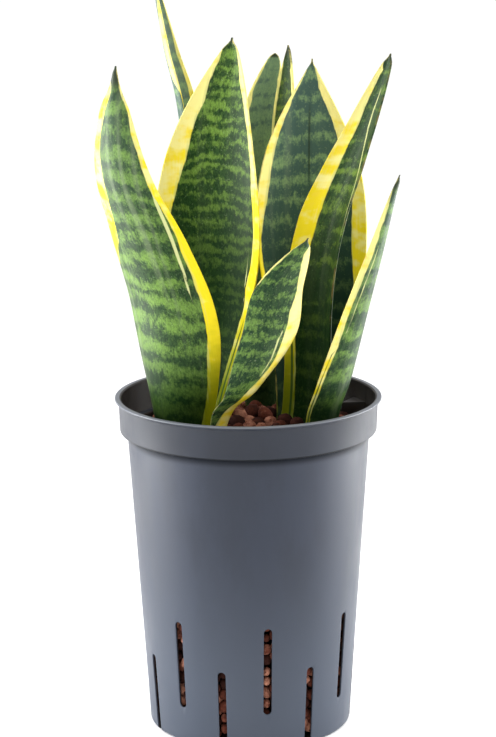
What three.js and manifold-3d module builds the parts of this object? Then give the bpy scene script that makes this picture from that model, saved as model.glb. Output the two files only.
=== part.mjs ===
// Potted snake plant: a tapered slotted hydroculture pot filled with expanded clay pebbles,
// a buried rhizome and nine broad, yellow-edged leaves.
// Millimetres, +Z up. The origin is the centre of the pot's underside; -Y is the front.

import * as THREE from 'three';
import { mergeVertices } from 'three/addons/utils/BufferGeometryUtils.js';
import Module from 'manifold-3d';

const wasm = await Module();
wasm.setup();

// ---------------------------------------------------------------- driving dimensions

const GAP = 0.35;                    // clearance between pieces that touch
const ROUND_GAP = 0.45;              // the same, where a faceted round faces another
const TURN = 2 * Math.PI;
const WELD = 1e-4;                   // points nearer than this are one point
const ARC_MIDDLE = 0.3;              // a quarter round's middle lies this share of its radius in

const POT = {
  height: 190,
  lipRadius: 75,
  lipHeight: 1.6,
  lipRound: 0.6,
  lipFillet: 0.8,                    // under the lip, where it meets the collar
  collarRadius: 72.9,                // just under the lip
  collarFootRadius: 72.3,            // at the collar's lower edge
  collarHeight: 19.4,
  collarRound: 1.2,
  bodyTopRadius: 68.2,
  bodyFootRadius: 57.2,
  footRound: 2.4,
  wall: 1.4,
  floor: 1.8,
  sides: 56,
};

const SLOT = {
  count: 14,                         // every second slot is a high one
  firstAngle: -237.6,                // degrees from the front towards +X, a high slot
  pitch: 24.7,                       // degrees; what is left of the circle is the gap under the shelf
  width: 4.7,
  highFrom: 21,
  highTo: 72,
  lowTo: 46,
  lowReach: 7,                       // how far a low slot runs in under the floor
  cutDepth: 30,
  roundSteps: 3,                     // facets on half of a slot's round end
};

// A small moulded shelf on the inside of the collar, at the right-hand back.
const SHELF = {
  corners: [[53.5, 23.5], [71.5, 24.5], [62, 39]],
  top: 179.6,
  bottom: 171,                       // within the ledge that carries the collar
  cornerGrow: 2.2,                   // a corner moves this much further out than the sides
};

const PEBBLES = {
  level: 173.4,                      // top of the packed core
  spacing: 15,
  jitter: 0.8,
  rise: [0.6, 2.6],                  // how far a top pebble's middle lies above the core
  radius: [5.6, 7.1],                // smallest and largest half-size
  edgeGap: 1,
  recess: 6,                         // the core stands back this far behind the slots
  recessTop: 80,
  slotStep: 15.5,
  slotTurn: 0.05,                    // radians that a pebble may lie beside its slot
  sides: 36,
  seed: 19,
};

const RHIZOME = {
  top: 150,
  thick: 17,
  leftStem: { from: [-30, -22], to: [-28, 22], radius: 15 },
  rightStem: { from: [36, -18], to: [9, 38], radius: 14 },
  link: { from: [-28, 2], to: [24, 8], radius: 9 },
  linkRaise: 2,                      // the link is this much thinner below,
  linkLower: 3,                      // and this much above
  endSteps: 7,
};

// Roots run down and outwards from under the stems: where each starts, and its direction in degrees.
const ROOTS = {
  places: [
    [[-34, -14], -170],
    [[-22, -10], -60],
    [[-32, 16], 150],
    [[30, -16], -20],
    [[24, 10], 20],
    [[12, 32], 70],
  ],
  course: [[0, -4], [4, 20], [9, 45], [6, 75]],    // outwards and down, from under the stem
  radius: 2.4,
  steps: 4,
  roundSteps: 3,
};

// Each leaf follows a line through its stations: the middle of the chord between its two margins.
// faces: where the hollow inner face looks at each station, in degrees from the front towards +X.
// width: across the blade, along its curve, at its widest; widestAt: how far up that is (0 to 1).
// footWidth: share of the width left at the foot. taper and point: the curve from there to the tip.
// cup: half the angle that the cross-section bends through, at the foot and at the tip, in degrees.
// thick: at the middle of the blade, at the foot and at the tip.
const FOOT = RHIZOME.top + 0.3;      // the leaves stand on the rhizome
const LEAVES = {
  leaf_front_left: {
    stations: [
      [-35.5, -15, FOOT], [-36, -24, 205], [-40.5, -29, 247], [-52.5, -34, 285],
      [-65.5, -39, 320], [-69.5, -43, 352], [-69, -45, 381],
    ],
    faces: [150, 148, 146, 144, 142, 142, 142],
    width: 62,
    widestAt: 0.38,
    footWidth: 0.54,
    taper: 1.96,
    point: 0.88,
    cup: [52, 30],
    thick: [5.5, 1.6],
  },
  leaf_centre_left: {
    stations: [[-26, 4, FOOT], [-24.5, 4, 215], [-23, 5, 285], [-19, 6, 336], [-7.5, 7, 390]],
    faces: [-20, -22, -25, -22, -20],
    width: 71,
    widestAt: 0.53,
    footWidth: 0.2,
    taper: 1.57,
    point: 0.87,
    cup: [50, 26],
    thick: [5.5, 1.6],
  },
  leaf_tall_back: {
    stations: [[-27, 23, FOOT], [-19, 30, 250], [-30, 39, 340], [-40.5, 44, 380], [-51, 47, 421]],
    faces: [40, 50, 60, 62, 62],
    width: 23,
    widestAt: 0.4,
    footWidth: 0.6,
    taper: 2.69,
    point: 0.95,
    cup: [70, 75],
    thick: [4.5, 1.4],
  },
  leaf_back_centre: {
    stations: [[9, 42, FOOT], [3.5, 49, 240], [7, 52, 330], [16.5, 53, 376]],
    faces: [10, 0, 0, 0],
    width: 32,
    widestAt: 0.4,
    footWidth: 0.5,
    taper: 2.77,
    point: 0.6,
    cup: [50, 30],
    thick: [4.5, 1.4],
  },
  leaf_back_slender: {
    stations: [[20, 33, FOOT], [22.5, 38, 240], [20.5, 39, 330], [23.5, 40, 382]],
    faces: [-60, -50, -50, -50],
    width: 22.5,
    widestAt: 0.62,
    footWidth: 0.6,
    taper: 3.34,
    point: 1,
    cup: [60, 45],
    thick: [4.2, 1.4],
  },
  leaf_centre_right: {
    stations: [[29.5, 10, FOOT], [37, 12, 220], [36, 13, 289], [35.5, 13, 340], [36.5, 12, 377.5]],
    faces: [5, 5, 5, 5, 5],
    width: 66,
    widestAt: 0.58,
    footWidth: 0.5,
    taper: 2.23,
    point: 1.24,
    cup: [50, 26],
    thick: [5.5, 1.6],
  },
  leaf_right_leaning: {
    stations: [
      [27, -7, FOOT], [32, -10, 190], [33.5, -13, 250], [40, -17, 290],
      [52.5, -21, 323], [62.5, -24, 347], [77.5, -27, 384.5],
    ],
    faces: [-35, -38, -40, -42, -42, -45, -45],
    width: 36.5,
    widestAt: 0.59,
    footWidth: 0.92,
    taper: 1.05,
    point: 0.62,
    cup: [45, 45],
    thick: [5.5, 1.6],
  },
  leaf_right_small: {
    stations: [
      [36, -18, FOOT], [39.5, -24, 184], [45.5, -27, 204], [57.5, -30, 243],
      [68.5, -31, 277], [77.5, -32, 306], [82.5, -32, 319.5],
    ],
    faces: [-120, -125, -125, -125, -125, -125, -125],
    width: 33,
    widestAt: 0.34,
    footWidth: 0.85,
    taper: 1.05,
    point: 0.83,
    cup: [50, 40],
    thick: [4.5, 1.4],
  },
  leaf_front_small: {
    stations: [
      [-24.5, -32, FOOT], [-16.5, -38, 188], [-4, -41, 203],
      [11, -46, 234], [17, -49, 262], [32.5, -53, 289],
    ],
    faces: [-100, -115, -130, -160, -165, -165],
    width: 33.5,
    widestAt: 0.53,
    footWidth: 0.25,
    taper: 3,
    point: 0.97,
    cup: [50, 25],
    thick: [4, 1.4],
  },
};
const LEAF = {
  rings: 15,                         // cross-sections along a leaf
  footStretch: 0.25,                 // they lie this much further apart at the foot
  across: 6,                         // facets across each face
  edge: 0.9,                         // thickness left at the margins
};

const SURFACES = {
  pot: { color: 0x5f6670, roughness: 0.45, metalness: 0 },
  clay: { color: 0xa0674d, roughness: 0.95, metalness: 0 },
  leaf: { color: 0x3c6a34, roughness: 0.4, metalness: 0 },
  rhizome: { color: 0xd9cfae, roughness: 0.7, metalness: 0 },
};

// ---------------------------------------------------------------- solids

// A closed geometry, as a solid that can be cut and joined.
function solid(geometry) {
  const bare = geometry.clone();
  bare.deleteAttribute('normal');
  bare.deleteAttribute('uv');
  const merged = mergeVertices(bare, WELD);
  const index = merged.index.array;
  const kept = [];
  for (let i = 0; i < index.length; i += 3) {
    const [a, b, c] = index.slice(i, i + 3);
    if (a !== b && b !== c && a !== c) kept.push(a, b, c);
  }
  return new wasm.Manifold(new wasm.Mesh({
    numProp: 3,
    vertProperties: new Float32Array(merged.attributes.position.array),
    triVerts: new Uint32Array(kept),
  }));
}

function geometryOf(shape) {
  const mesh = shape.getMesh();
  const places = new Float32Array(mesh.vertProperties);
  const corners = new Uint32Array(mesh.triVerts);
  const geometry = new THREE.BufferGeometry();
  geometry.setAttribute('position', new THREE.BufferAttribute(places, 3));
  geometry.setIndex(new THREE.BufferAttribute(corners, 1));
  geometry.computeVertexNormals();
  return geometry;
}

function node(name, geometry, surface) {
  const mesh = new THREE.Mesh(geometry, new THREE.MeshStandardMaterial(surface));
  mesh.name = name;
  return mesh;
}

// Keeps the largest body, so no loose crumb is left after a cut.
function largest(shape) {
  return shape.decompose().reduce((best, next) => (next.volume() > best.volume() ? next : best));
}

// A profile of [radius, height] pairs turned about the Z axis.
function turned(profile, sides) {
  const points = profile.map(([radius, height]) => new THREE.Vector2(radius, height));
  const geometry = new THREE.LatheGeometry(points, sides);
  geometry.rotateX(Math.PI / 2);
  return geometry;
}

// A flat outline raised from one height to another.
function raised(shape, bottom, top, curveSegments = 1) {
  const options = { depth: top - bottom, bevelEnabled: false, curveSegments };
  const geometry = new THREE.ExtrudeGeometry(shape, options);
  geometry.translate(0, 0, bottom);
  return geometry;
}

// A small seeded generator, so that every build places the pebbles alike.
function seeded(seed) {
  const [factor, step, range] = [1664525, 1013904223, 2 ** 32];
  let state = seed;
  return () => {
    state = (state * factor + step) % range;
    return state / range;
  };
}

// ---------------------------------------------------------------- pot

const COLLAR_FOOT = POT.height - POT.collarHeight;

function bodyRadius(z) {
  const share = z / COLLAR_FOOT;
  return POT.bodyFootRadius + (POT.bodyTopRadius - POT.bodyFootRadius) * share;
}

function potOutline() {
  const { height, lipRadius, lipHeight, lipRound, lipFillet, wall, floor, footRound, collarRound } = POT;
  const ledge = COLLAR_FOOT + wall;
  return [
    [0, 0],
    [bodyRadius(0) - footRound, 0],
    [bodyRadius(0) - ARC_MIDDLE * footRound, ARC_MIDDLE * footRound],
    [bodyRadius(footRound), footRound],
    [POT.bodyTopRadius, COLLAR_FOOT],
    [POT.collarFootRadius - collarRound, COLLAR_FOOT],
    [POT.collarFootRadius, COLLAR_FOOT + collarRound],
    [POT.collarRadius, height - lipHeight - lipFillet],
    [lipRadius - lipFillet / 2, height - lipHeight],
    [lipRadius, height - lipRound],
    [lipRadius - lipRound, height],
    [POT.collarRadius - wall, height],
    [POT.collarFootRadius - wall, ledge],
    [POT.bodyTopRadius - wall, ledge],
    [bodyRadius(floor) - wall, floor],
    [0, floor],
  ];
}

// A slot's face, a rounded bar standing in the XZ plane, pushed out through the wall.
function slotCutter(from, to, angle) {
  const half = SLOT.width / 2;
  const outline = new THREE.Shape();
  outline.moveTo(-half, from + half);
  outline.absarc(0, from + half, half, Math.PI, TURN, false);
  outline.lineTo(half, to - half);
  outline.absarc(0, to - half, half, 0, Math.PI, false);
  const options = { depth: SLOT.cutDepth, bevelEnabled: false, curveSegments: SLOT.roundSteps };
  const cutter = new THREE.ExtrudeGeometry(outline, options);
  cutter.rotateX(Math.PI / 2);
  cutter.translate(0, -bodyRadius(0) + SLOT.lowReach, 0);
  cutter.rotateZ(angle);
  return solid(cutter);
}

function slotAngles() {
  return Array.from({ length: SLOT.count }, (_, i) => (
    THREE.MathUtils.degToRad(SLOT.firstAngle + i * SLOT.pitch)
  ));
}

function shelf(grow) {
  const centre = SHELF.corners.reduce(([x, y], [px, py]) => [x + px / 3, y + py / 3], [0, 0]);
  const outline = new THREE.Shape();
  SHELF.corners.forEach(([x, y], i) => {
    const [dx, dy] = [x - centre[0], y - centre[1]];
    const reach = 1 + SHELF.cornerGrow * grow / Math.hypot(dx, dy);
    const place = [centre[0] + dx * reach, centre[1] + dy * reach];
    if (i === 0) outline.moveTo(...place);
    else outline.lineTo(...place);
  });
  const wallMiddle = POT.collarFootRadius - POT.wall / 2;
  const within = [[0, 0], [wallMiddle, 0], [wallMiddle, POT.height], [0, POT.height]];
  const block = solid(raised(outline, SHELF.bottom - grow, SHELF.top + grow));
  return block.intersect(solid(turned(within, POT.sides)));
}

function pot() {
  let body = solid(turned(potOutline(), POT.sides)).add(shelf(0));
  slotAngles().forEach((angle, i) => {
    const high = i % 2 === 0;
    const from = high ? SLOT.highFrom : -SLOT.width;
    const to = high ? SLOT.highTo : SLOT.lowTo;
    body = body.subtract(slotCutter(from, to, angle));
  });
  return node('pot', geometryOf(body), SURFACES.pot);
}

// ---------------------------------------------------------------- leaves

function smoothRise(x) {
  return x * x * (3 - 2 * x);
}

function leafHalfWidth(leaf, v) {
  if (v < leaf.widestAt) {
    return 0.5 * leaf.width * (leaf.footWidth + (1 - leaf.footWidth) * smoothRise(v / leaf.widestAt));
  }
  const beyond = (v - leaf.widestAt) / (1 - leaf.widestAt);
  return 0.5 * leaf.width * (1 - beyond ** leaf.taper) ** leaf.point;
}

// One horizontal cross-section: inner face from margin to margin, then the outer face back.
function leafRing(leaf, line, turn, v, grow) {
  const { lerp, degToRad } = THREE.MathUtils;
  const t = line.getUtoTmapping(v);
  const centre = line.getPoint(t);
  const facing = degToRad(turn.getPoint(t).x);
  const side = new THREE.Vector3(Math.cos(facing), Math.sin(facing), 0);
  const face = new THREE.Vector3(Math.sin(facing), -Math.cos(facing), 0);
  const half = Math.max(leafHalfWidth(leaf, v), LEAF.edge);
  const cup = degToRad(lerp(leaf.cup[0], leaf.cup[1], v));
  const radius = half / cup;
  const middle = Math.min(lerp(leaf.thick[0], leaf.thick[1], v), half);
  const at = (a, depth) => {
    const bend = a * cup;
    const out = side.clone().multiplyScalar(Math.sin(bend)).addScaledVector(face, -Math.cos(bend));
    return centre.clone()
      .addScaledVector(side, radius * Math.sin(bend))
      .addScaledVector(face, radius * (Math.cos(cup) - Math.cos(bend)))
      .addScaledVector(out, depth);
  };
  const ring = [];
  const reach = 1 + grow / half;
  for (let i = 0; i <= LEAF.across; i += 1) {
    const a = (2 * i / LEAF.across - 1) * reach;
    ring.push(at(a, -grow));
  }
  for (let i = LEAF.across; i >= 0; i -= 1) {
    const a = 2 * i / LEAF.across - 1;
    const thickness = LEAF.edge + (middle - LEAF.edge) * (1 - a * a);
    ring.push(at(a * reach, Math.max(thickness, LEAF.edge) + grow));
  }
  return ring;
}

function smoothLine(places) {
  return new THREE.CatmullRomCurve3(places.map((place) => new THREE.Vector3(...place)), false, 'catmullrom');
}

// grow makes the same leaf a little larger all round, to cut the hole that it stands in.
function leafGeometry(leaf, grow = 0) {
  const line = smoothLine(leaf.stations);
  const turn = smoothLine(leaf.faces.map((angle) => [angle, 0, 0]));
  const loop = 2 * (LEAF.across + 1);
  const points = [];
  for (let k = 0; k < LEAF.rings; k += 1) {
    const share = k / LEAF.rings;
    const v = share * (1 + LEAF.footStretch * (1 - share));
    points.push(...leafRing(leaf, line, turn, v, grow));
  }
  if (grow > 0) points.slice(0, loop).forEach((p) => { p.z -= grow; });
  const tip = points.length;
  points.push(line.getPoint(1));
  const faces = [];
  for (let k = 0; k + 1 < LEAF.rings; k += 1) {
    for (let i = 0; i < loop; i += 1) {
      const a = k * loop + i;
      const b = k * loop + (i + 1) % loop;
      faces.push(a, b, b + loop, a, b + loop, a + loop);
    }
  }
  for (let i = 0; i < LEAF.across; i += 1) {
    const behind = loop - 1 - i;
    faces.push(i, behind, i + 1, i + 1, behind, behind - 1);
  }
  const last = (LEAF.rings - 1) * loop;
  for (let i = 0; i < loop; i += 1) {
    faces.push(last + i, last + (i + 1) % loop, tip);
  }
  const places = points.flatMap((point) => point.toArray());
  const geometry = new THREE.BufferGeometry();
  geometry.setAttribute('position', new THREE.Float32BufferAttribute(places, 3));
  geometry.setIndex(faces);
  geometry.computeVertexNormals();
  return geometry;
}

function leaves() {
  return Object.entries(LEAVES).map(([name, leaf]) => (
    node(name, leafGeometry(leaf), SURFACES.leaf)
  ));
}

// ---------------------------------------------------------------- rhizome

// A bar with round ends, from one point to another.
function stem({ from, to, radius }, bottom, top, grow) {
  const [dx, dy] = [to[0] - from[0], to[1] - from[1]];
  const along = Math.atan2(dy, dx);
  const r = radius + grow;
  const outline = new THREE.Shape();
  outline.absarc(to[0], to[1], r, along - Math.PI / 2, along + Math.PI / 2, false);
  outline.absarc(from[0], from[1], r, along + Math.PI / 2, along + 1.5 * Math.PI, false);
  return solid(raised(outline, bottom - grow, top + grow, RHIZOME.endSteps));
}

function root([x, y], direction, grow) {
  const angle = THREE.MathUtils.degToRad(direction);
  const start = RHIZOME.top - RHIZOME.thick;
  const last = ROOTS.course.length - 1;
  const course = smoothLine(ROOTS.course.map(([out, down], i) => [
    x + out * Math.cos(angle),
    y + out * Math.sin(angle),
    start - down - (i === last ? grow : 0),
  ]));
  const section = new THREE.Shape();
  section.absarc(0, 0, ROOTS.radius + grow, 0, TURN, false);
  const options = { steps: ROOTS.steps, extrudePath: course, curveSegments: ROOTS.roundSteps };
  return solid(new THREE.ExtrudeGeometry(section, options));
}

function rhizomeSolid(grow) {
  const { top, thick, leftStem, rightStem, link, linkRaise, linkLower } = RHIZOME;
  const bottom = top - thick;
  let body = stem(leftStem, bottom, top, grow)
    .add(stem(rightStem, bottom, top, grow))
    .add(stem(link, bottom + linkRaise, top - linkLower, grow));
  ROOTS.places.forEach(([place, direction]) => {
    body = body.add(root(place, direction, grow));
  });
  return body;
}

function rhizome() {
  return node('rhizome', geometryOf(rhizomeSolid(0)), SURFACES.rhizome);
}

// ---------------------------------------------------------------- clay pebbles

const LEDGE = COLLAR_FOOT + POT.wall + GAP;
const COLLAR_INSIDE = POT.collarFootRadius - POT.wall - GAP;

function insideRadius(z) {
  return bodyRadius(z) - POT.wall - GAP;
}

function pebble(random, x, y, z) {
  const [small, large] = PEBBLES.radius;
  const size = () => small + (large - small) * random();
  const shape = new THREE.IcosahedronGeometry(1, 0);
  shape.scale(size(), size(), size());
  shape.rotateX(TURN * random());
  shape.rotateZ(TURN * random());
  shape.translate(x, y, z);
  return solid(shape);
}

// The packed filling below the pebbles that show, standing back behind the slots.
function core() {
  const { recess, recessTop, level } = PEBBLES;
  const base = POT.floor + GAP;
  const profile = [
    [0, base],
    [insideRadius(base) - recess, base],
    [insideRadius(recessTop) - recess, recessTop],
    [insideRadius(recessTop + recess), recessTop + recess],
    [insideRadius(LEDGE), LEDGE],
    [COLLAR_INSIDE, LEDGE],
    [COLLAR_INSIDE, level],
    [0, level],
  ];
  return solid(turned(profile, PEBBLES.sides));
}

// The space above the ledge, which the top pebbles stay inside.
function collarSpace() {
  const bottom = (LEDGE + PEBBLES.level) / 2;
  const profile = [[0, bottom], [COLLAR_INSIDE, bottom], [COLLAR_INSIDE, POT.height], [0, POT.height]];
  return solid(turned(profile, PEBBLES.sides));
}

// Rows of pebbles over the top, in a loose triangular pattern.
function topPebbles(random) {
  const { spacing, level, jitter, rise, edgeGap } = PEBBLES;
  const reach = COLLAR_INSIDE - PEBBLES.radius[1] - edgeGap;
  const rowStep = spacing * Math.sqrt(3) / 2;
  const rows = Math.ceil(reach / rowStep);
  const shapes = [];
  for (let row = -rows; row <= rows; row += 1) {
    for (let column = -rows; column <= rows; column += 1) {
      const x = (column + (row % 2 ? 0.5 : 0)) * spacing + jitter * (random() - 0.5);
      const y = row * rowStep + jitter * (random() - 0.5);
      const z = level + rise[0] + (rise[1] - rise[0]) * random();
      if (Math.hypot(x, y) < reach) shapes.push(pebble(random, x, y, z));
    }
  }
  return shapes;
}

// Pebbles that show through the slots.
function slotPebbles(random) {
  const shapes = [];
  slotAngles().forEach((angle, i) => {
    const high = i % 2 === 0;
    const from = high ? SLOT.highFrom : POT.floor + GAP + PEBBLES.radius[1];
    const to = high ? SLOT.highTo : SLOT.lowTo;
    for (let z = from; z <= to; z += PEBBLES.slotStep) {
      const radius = insideRadius(z) - PEBBLES.radius[1];
      const turn = angle + PEBBLES.slotTurn * (random() - 0.5);
      shapes.push(pebble(random, radius * Math.sin(turn), -radius * Math.cos(turn), z));
    }
  });
  return shapes;
}

function joined(shapes) {
  return shapes.reduce((body, shape) => body.add(shape));
}

function clayPebbles() {
  const random = seeded(PEBBLES.seed);
  const top = joined(topPebbles(random)).intersect(collarSpace());
  let body = joined([core(), top, ...slotPebbles(random)]);
  body = body.subtract(shelf(GAP)).subtract(rhizomeSolid(ROUND_GAP));
  Object.values(LEAVES).forEach((leaf) => {
    body = body.subtract(solid(leafGeometry(leaf, GAP)));
  });
  return node('clay_pebbles', geometryOf(largest(body)), SURFACES.clay);
}

// ---------------------------------------------------------------- assembly

const plant = new THREE.Group();
plant.add(pot(), clayPebbles(), rhizome(), ...leaves());

export default plant;
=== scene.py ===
# %% [markdown]
# # A snake plant in a slotted culture pot
# Nine stiff, yellow-edged leaves stand in a grey plastic pot full of baked clay pebbles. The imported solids
# come in first, as a fixed frame, and every piece below is made in the same place and at the same size.

# %% The frame
import math
import random

import bpy
import numpy as np
from mathutils import Matrix, Vector


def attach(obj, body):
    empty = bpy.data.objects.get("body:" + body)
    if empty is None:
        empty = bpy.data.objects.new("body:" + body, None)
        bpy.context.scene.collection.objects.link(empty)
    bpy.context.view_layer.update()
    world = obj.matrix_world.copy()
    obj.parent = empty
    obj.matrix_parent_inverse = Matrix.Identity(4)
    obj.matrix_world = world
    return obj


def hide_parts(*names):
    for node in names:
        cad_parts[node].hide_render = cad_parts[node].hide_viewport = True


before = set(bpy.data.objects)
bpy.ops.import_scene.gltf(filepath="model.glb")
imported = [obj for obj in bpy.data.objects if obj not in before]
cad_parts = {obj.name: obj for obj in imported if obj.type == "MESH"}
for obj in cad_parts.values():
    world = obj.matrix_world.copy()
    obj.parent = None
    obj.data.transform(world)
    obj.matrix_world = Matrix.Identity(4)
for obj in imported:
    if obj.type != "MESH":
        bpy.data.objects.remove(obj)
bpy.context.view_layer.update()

MM = 0.001
print("nodes:", sorted(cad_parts))

# %% [markdown]
# ## The camera
# The picture was taken from a little above the rim, with a long lens. A lens and a place can be guessed by
# eye, or worked out from the ellipse of the rim and the slope of the pot's sides. The second way gives a
# camera that stands 1.5 m in front of the pot and 553 mm above the table, looks 13 degrees down and leans
# over by less than half a degree.

# %% Camera
FRAME_WIDTH, FRAME_HEIGHT = 496, 737          # pixels
CAMERA_DISTANCE = 1500 * MM
CAMERA_HEIGHT = 552.7 * MM
CAMERA_PITCH = math.radians(13.04)            # downwards
CAMERA_ROLL = math.radians(-0.39)
FOCAL_LENGTH = 2744.5                         # pixels
SENSOR = 36                                   # millimetres, along the picture's height


def make_camera():
    data = bpy.data.cameras.new("camera")
    data.sensor_fit = "VERTICAL"
    data.sensor_height = SENSOR
    data.lens = FOCAL_LENGTH * SENSOR / FRAME_HEIGHT
    camera = bpy.data.objects.new("camera", data)
    forward = Vector((0, math.cos(CAMERA_PITCH), -math.sin(CAMERA_PITCH)))
    level = Vector((1, 0, 0))
    upward = level.cross(forward)
    right = math.cos(CAMERA_ROLL) * level + math.sin(CAMERA_ROLL) * upward
    top = math.cos(CAMERA_ROLL) * upward - math.sin(CAMERA_ROLL) * level
    axes = Matrix((right, top, -forward)).transposed().to_4x4()
    camera.matrix_world = Matrix.Translation((0, -CAMERA_DISTANCE, CAMERA_HEIGHT)) @ axes
    bpy.context.scene.collection.objects.link(camera)
    bpy.context.scene.camera = camera
    return camera


camera = make_camera()
print("picture", FRAME_WIDTH, "x", FRAME_HEIGHT, "pixels, lens", round(camera.data.lens, 1), "mm")

# %% [markdown]
# ## Node trees written as sums
# A node tree can be built one node and one link at a time, but then a formula of ten steps takes forty
# lines. Here a socket is wrapped in a small class, so that `a * b + c` adds the two Math nodes and their
# links. The same class works in geometry trees and in materials.

# %% Sockets that can be added and multiplied
class Wire:
    """A socket that sums can be written with: each one adds a Math node."""

    def __init__(self, tree, socket):
        self.tree = tree
        self.socket = socket

    def math(self, operation, *others):
        return number(self.tree, operation, self, *others)

    def __add__(self, other):
        return self.math("ADD", other)

    def __sub__(self, other):
        return self.math("SUBTRACT", other)

    def __mul__(self, other):
        return self.math("MULTIPLY", other)

    def __truediv__(self, other):
        return self.math("DIVIDE", other)

    def __pow__(self, other):
        return self.math("POWER", other)

    def __rsub__(self, other):
        return number(self.tree, "SUBTRACT", other, self)

    def __rtruediv__(self, other):
        return number(self.tree, "DIVIDE", other, self)

    __radd__ = __add__
    __rmul__ = __mul__


# %% Adding nodes and joining them
def plug(value, socket):
    """Joins a wire to a socket, or sets the socket to a plain value."""
    if isinstance(value, Wire):
        value.tree.links.new(value.socket, socket)
    else:
        socket.default_value = value


def add(tree, kind, inputs=None, **settings):
    """Adds a node, with its settings and its inputs by name or place."""
    node = tree.nodes.new(kind)
    for name, value in settings.items():
        setattr(node, name, value)
    for key, value in (inputs or {}).items():
        plug(value, node.inputs[key])
    return node


def wire_from(tree, kind, inputs=None, output=0, **settings):
    """Adds a node and gives one of its outputs."""
    return Wire(tree, add(tree, kind, inputs, **settings).outputs[output])


# %% Numbers and vectors
def number(tree, operation, *values):
    return wire_from(tree, "ShaderNodeMath", dict(enumerate(values)), operation=operation)


def larger(first, second):
    return first.math("MAXIMUM", second)


def smaller(first, second):
    return first.math("MINIMUM", second)


def vector(*values):
    tree = next(value.tree for value in values if isinstance(value, Wire))
    return wire_from(tree, "ShaderNodeCombineXYZ", dict(enumerate(values)))


def parts(wire):
    node = add(wire.tree, "ShaderNodeSeparateXYZ", {0: wire})
    return [Wire(wire.tree, socket) for socket in node.outputs]


def scaled(wire, amount):
    return wire_from(wire.tree, "ShaderNodeVectorMath", {0: wire, "Scale": amount}, operation="SCALE")


def total(first, *others):
    """The sum of several vectors."""
    for other in others:
        first = wire_from(first.tree, "ShaderNodeVectorMath", {0: first, 1: other}, operation="ADD")
    return first


# %% Smooth steps and noise
def ease(value, low, high, start=0.0, end=1.0):
    """Rises smoothly from start to end as value goes from low to high, and stays level outside."""
    inputs = {"Value": value, 1: low, 2: high, 3: start, 4: end}
    return wire_from(value.tree, "ShaderNodeMapRange", inputs, interpolation_type="SMOOTHSTEP")


def fade(value, low, high):
    """Falls smoothly from 1 to 0 as value goes from low to high."""
    return ease(value, low, high, 1.0, 0.0)


def noise(where, scale=1.0, detail=2.0, roughness=0.5):
    inputs = {"Vector": where, "Scale": scale, "Detail": detail, "Roughness": roughness}
    return wire_from(where.tree, "ShaderNodeTexNoise", inputs)


# %% [markdown]
# ## Running a geometry tree
# A Geometry Nodes modifier would stay live in the file. The finished piece has to be a plain mesh, so the
# tree's inputs are set, the object is evaluated once, and the result takes the place of the rough mesh that
# went in.

# %% From a tree to a plain mesh
def geometry_tree(name, inputs):
    """A new tree with a geometry input, named inputs and a geometry output."""
    tree = bpy.data.node_groups.new(name, "GeometryNodeTree")
    tree.interface.new_socket("Geometry", in_out="INPUT", socket_type="NodeSocketGeometry")
    for title, kind in inputs.items():
        tree.interface.new_socket(title, in_out="INPUT", socket_type="NodeSocket" + kind)
    tree.interface.new_socket("Geometry", in_out="OUTPUT", socket_type="NodeSocketGeometry")
    given = tree.nodes.new("NodeGroupInput")
    return tree, {socket.name: Wire(tree, socket) for socket in given.outputs if socket.name}


def finish_tree(geometry, material):
    """Ends a tree in Realize Instances and Set Material."""
    tree = geometry.tree
    real = wire_from(tree, "GeometryNodeRealizeInstances", {"Geometry": geometry})
    painted = wire_from(tree, "GeometryNodeSetMaterial", {"Geometry": real, "Material": material})
    plug(painted, tree.nodes.new("NodeGroupOutput").inputs[0])


def keep_result(piece):
    """Keeps what a piece's modifiers make as its own plain mesh."""
    bpy.context.view_layer.update()
    depsgraph = bpy.context.evaluated_depsgraph_get()
    made = bpy.data.meshes.new_from_object(
        piece.evaluated_get(depsgraph), preserve_all_data_layers=True, depsgraph=depsgraph)
    piece.modifiers.clear()
    piece.data = made
    return piece


def run_tree(piece, tree, values):
    """Runs a tree on an object, with its inputs by name, and keeps the result."""
    modifier = piece.modifiers.new(tree.name, "NODES")
    modifier.node_group = tree
    for item in tree.interface.items_tree:
        if item.in_out == "INPUT" and item.name in values:
            value = values[item.name]
            if item.socket_type == "NodeSocketFloat":
                value = float(value)
            if item.socket_type == "NodeSocketVector":
                value = [float(size) for size in value]
            modifier[item.identifier] = value
    return keep_result(piece)


# %% New pieces and their volume
def new_piece(name, points, edges=(), faces=()):
    mesh = bpy.data.meshes.new(name)
    mesh.from_pydata(points, edges, faces)
    piece = bpy.data.objects.new(name, mesh)
    bpy.context.scene.collection.objects.link(piece)
    return piece


def volume_of(piece):
    """The volume that the faces close in, which is negative if they point inwards."""
    mesh = piece.data
    mesh.calc_loop_triangles()
    corners = np.empty(len(mesh.loop_triangles) * 3, dtype=np.int64)
    mesh.loop_triangles.foreach_get("vertices", corners)
    places = np.empty(len(mesh.vertices) * 3)
    mesh.vertices.foreach_get("co", places)
    a, b, c = places.reshape(-1, 3)[corners.reshape(-1, 3)].transpose(1, 0, 2)
    return float((a * np.cross(b, c)).sum() / 6)


def outwards(piece):
    """Turns a closed piece's faces over if they point inwards."""
    if volume_of(piece) < 0:
        piece.data.flip_normals()
    return piece


# %% [markdown]
# ## Colours and plain materials
# Colours are noted as a screen shows them, from 0 to 255, and the shader wants them linear.

# %% Colour and shader helpers
SRGB_KNEE = 0.04045


def colour(red, green, blue):
    def linear(level):
        share = level / 255
        return share / 12.92 if share <= SRGB_KNEE else ((share + 0.055) / 1.055) ** 2.4
    return (linear(red), linear(green), linear(blue), 1)


def blend(factor, first, second):
    """Mixes two colours."""
    inputs = {0: factor, 6: first, 7: second}
    return wire_from(factor.tree, "ShaderNodeMix", inputs, output=2, data_type="RGBA")


def attribute(tree, name):
    return wire_from(tree, "ShaderNodeAttribute", output="Vector", attribute_name=name)


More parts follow.
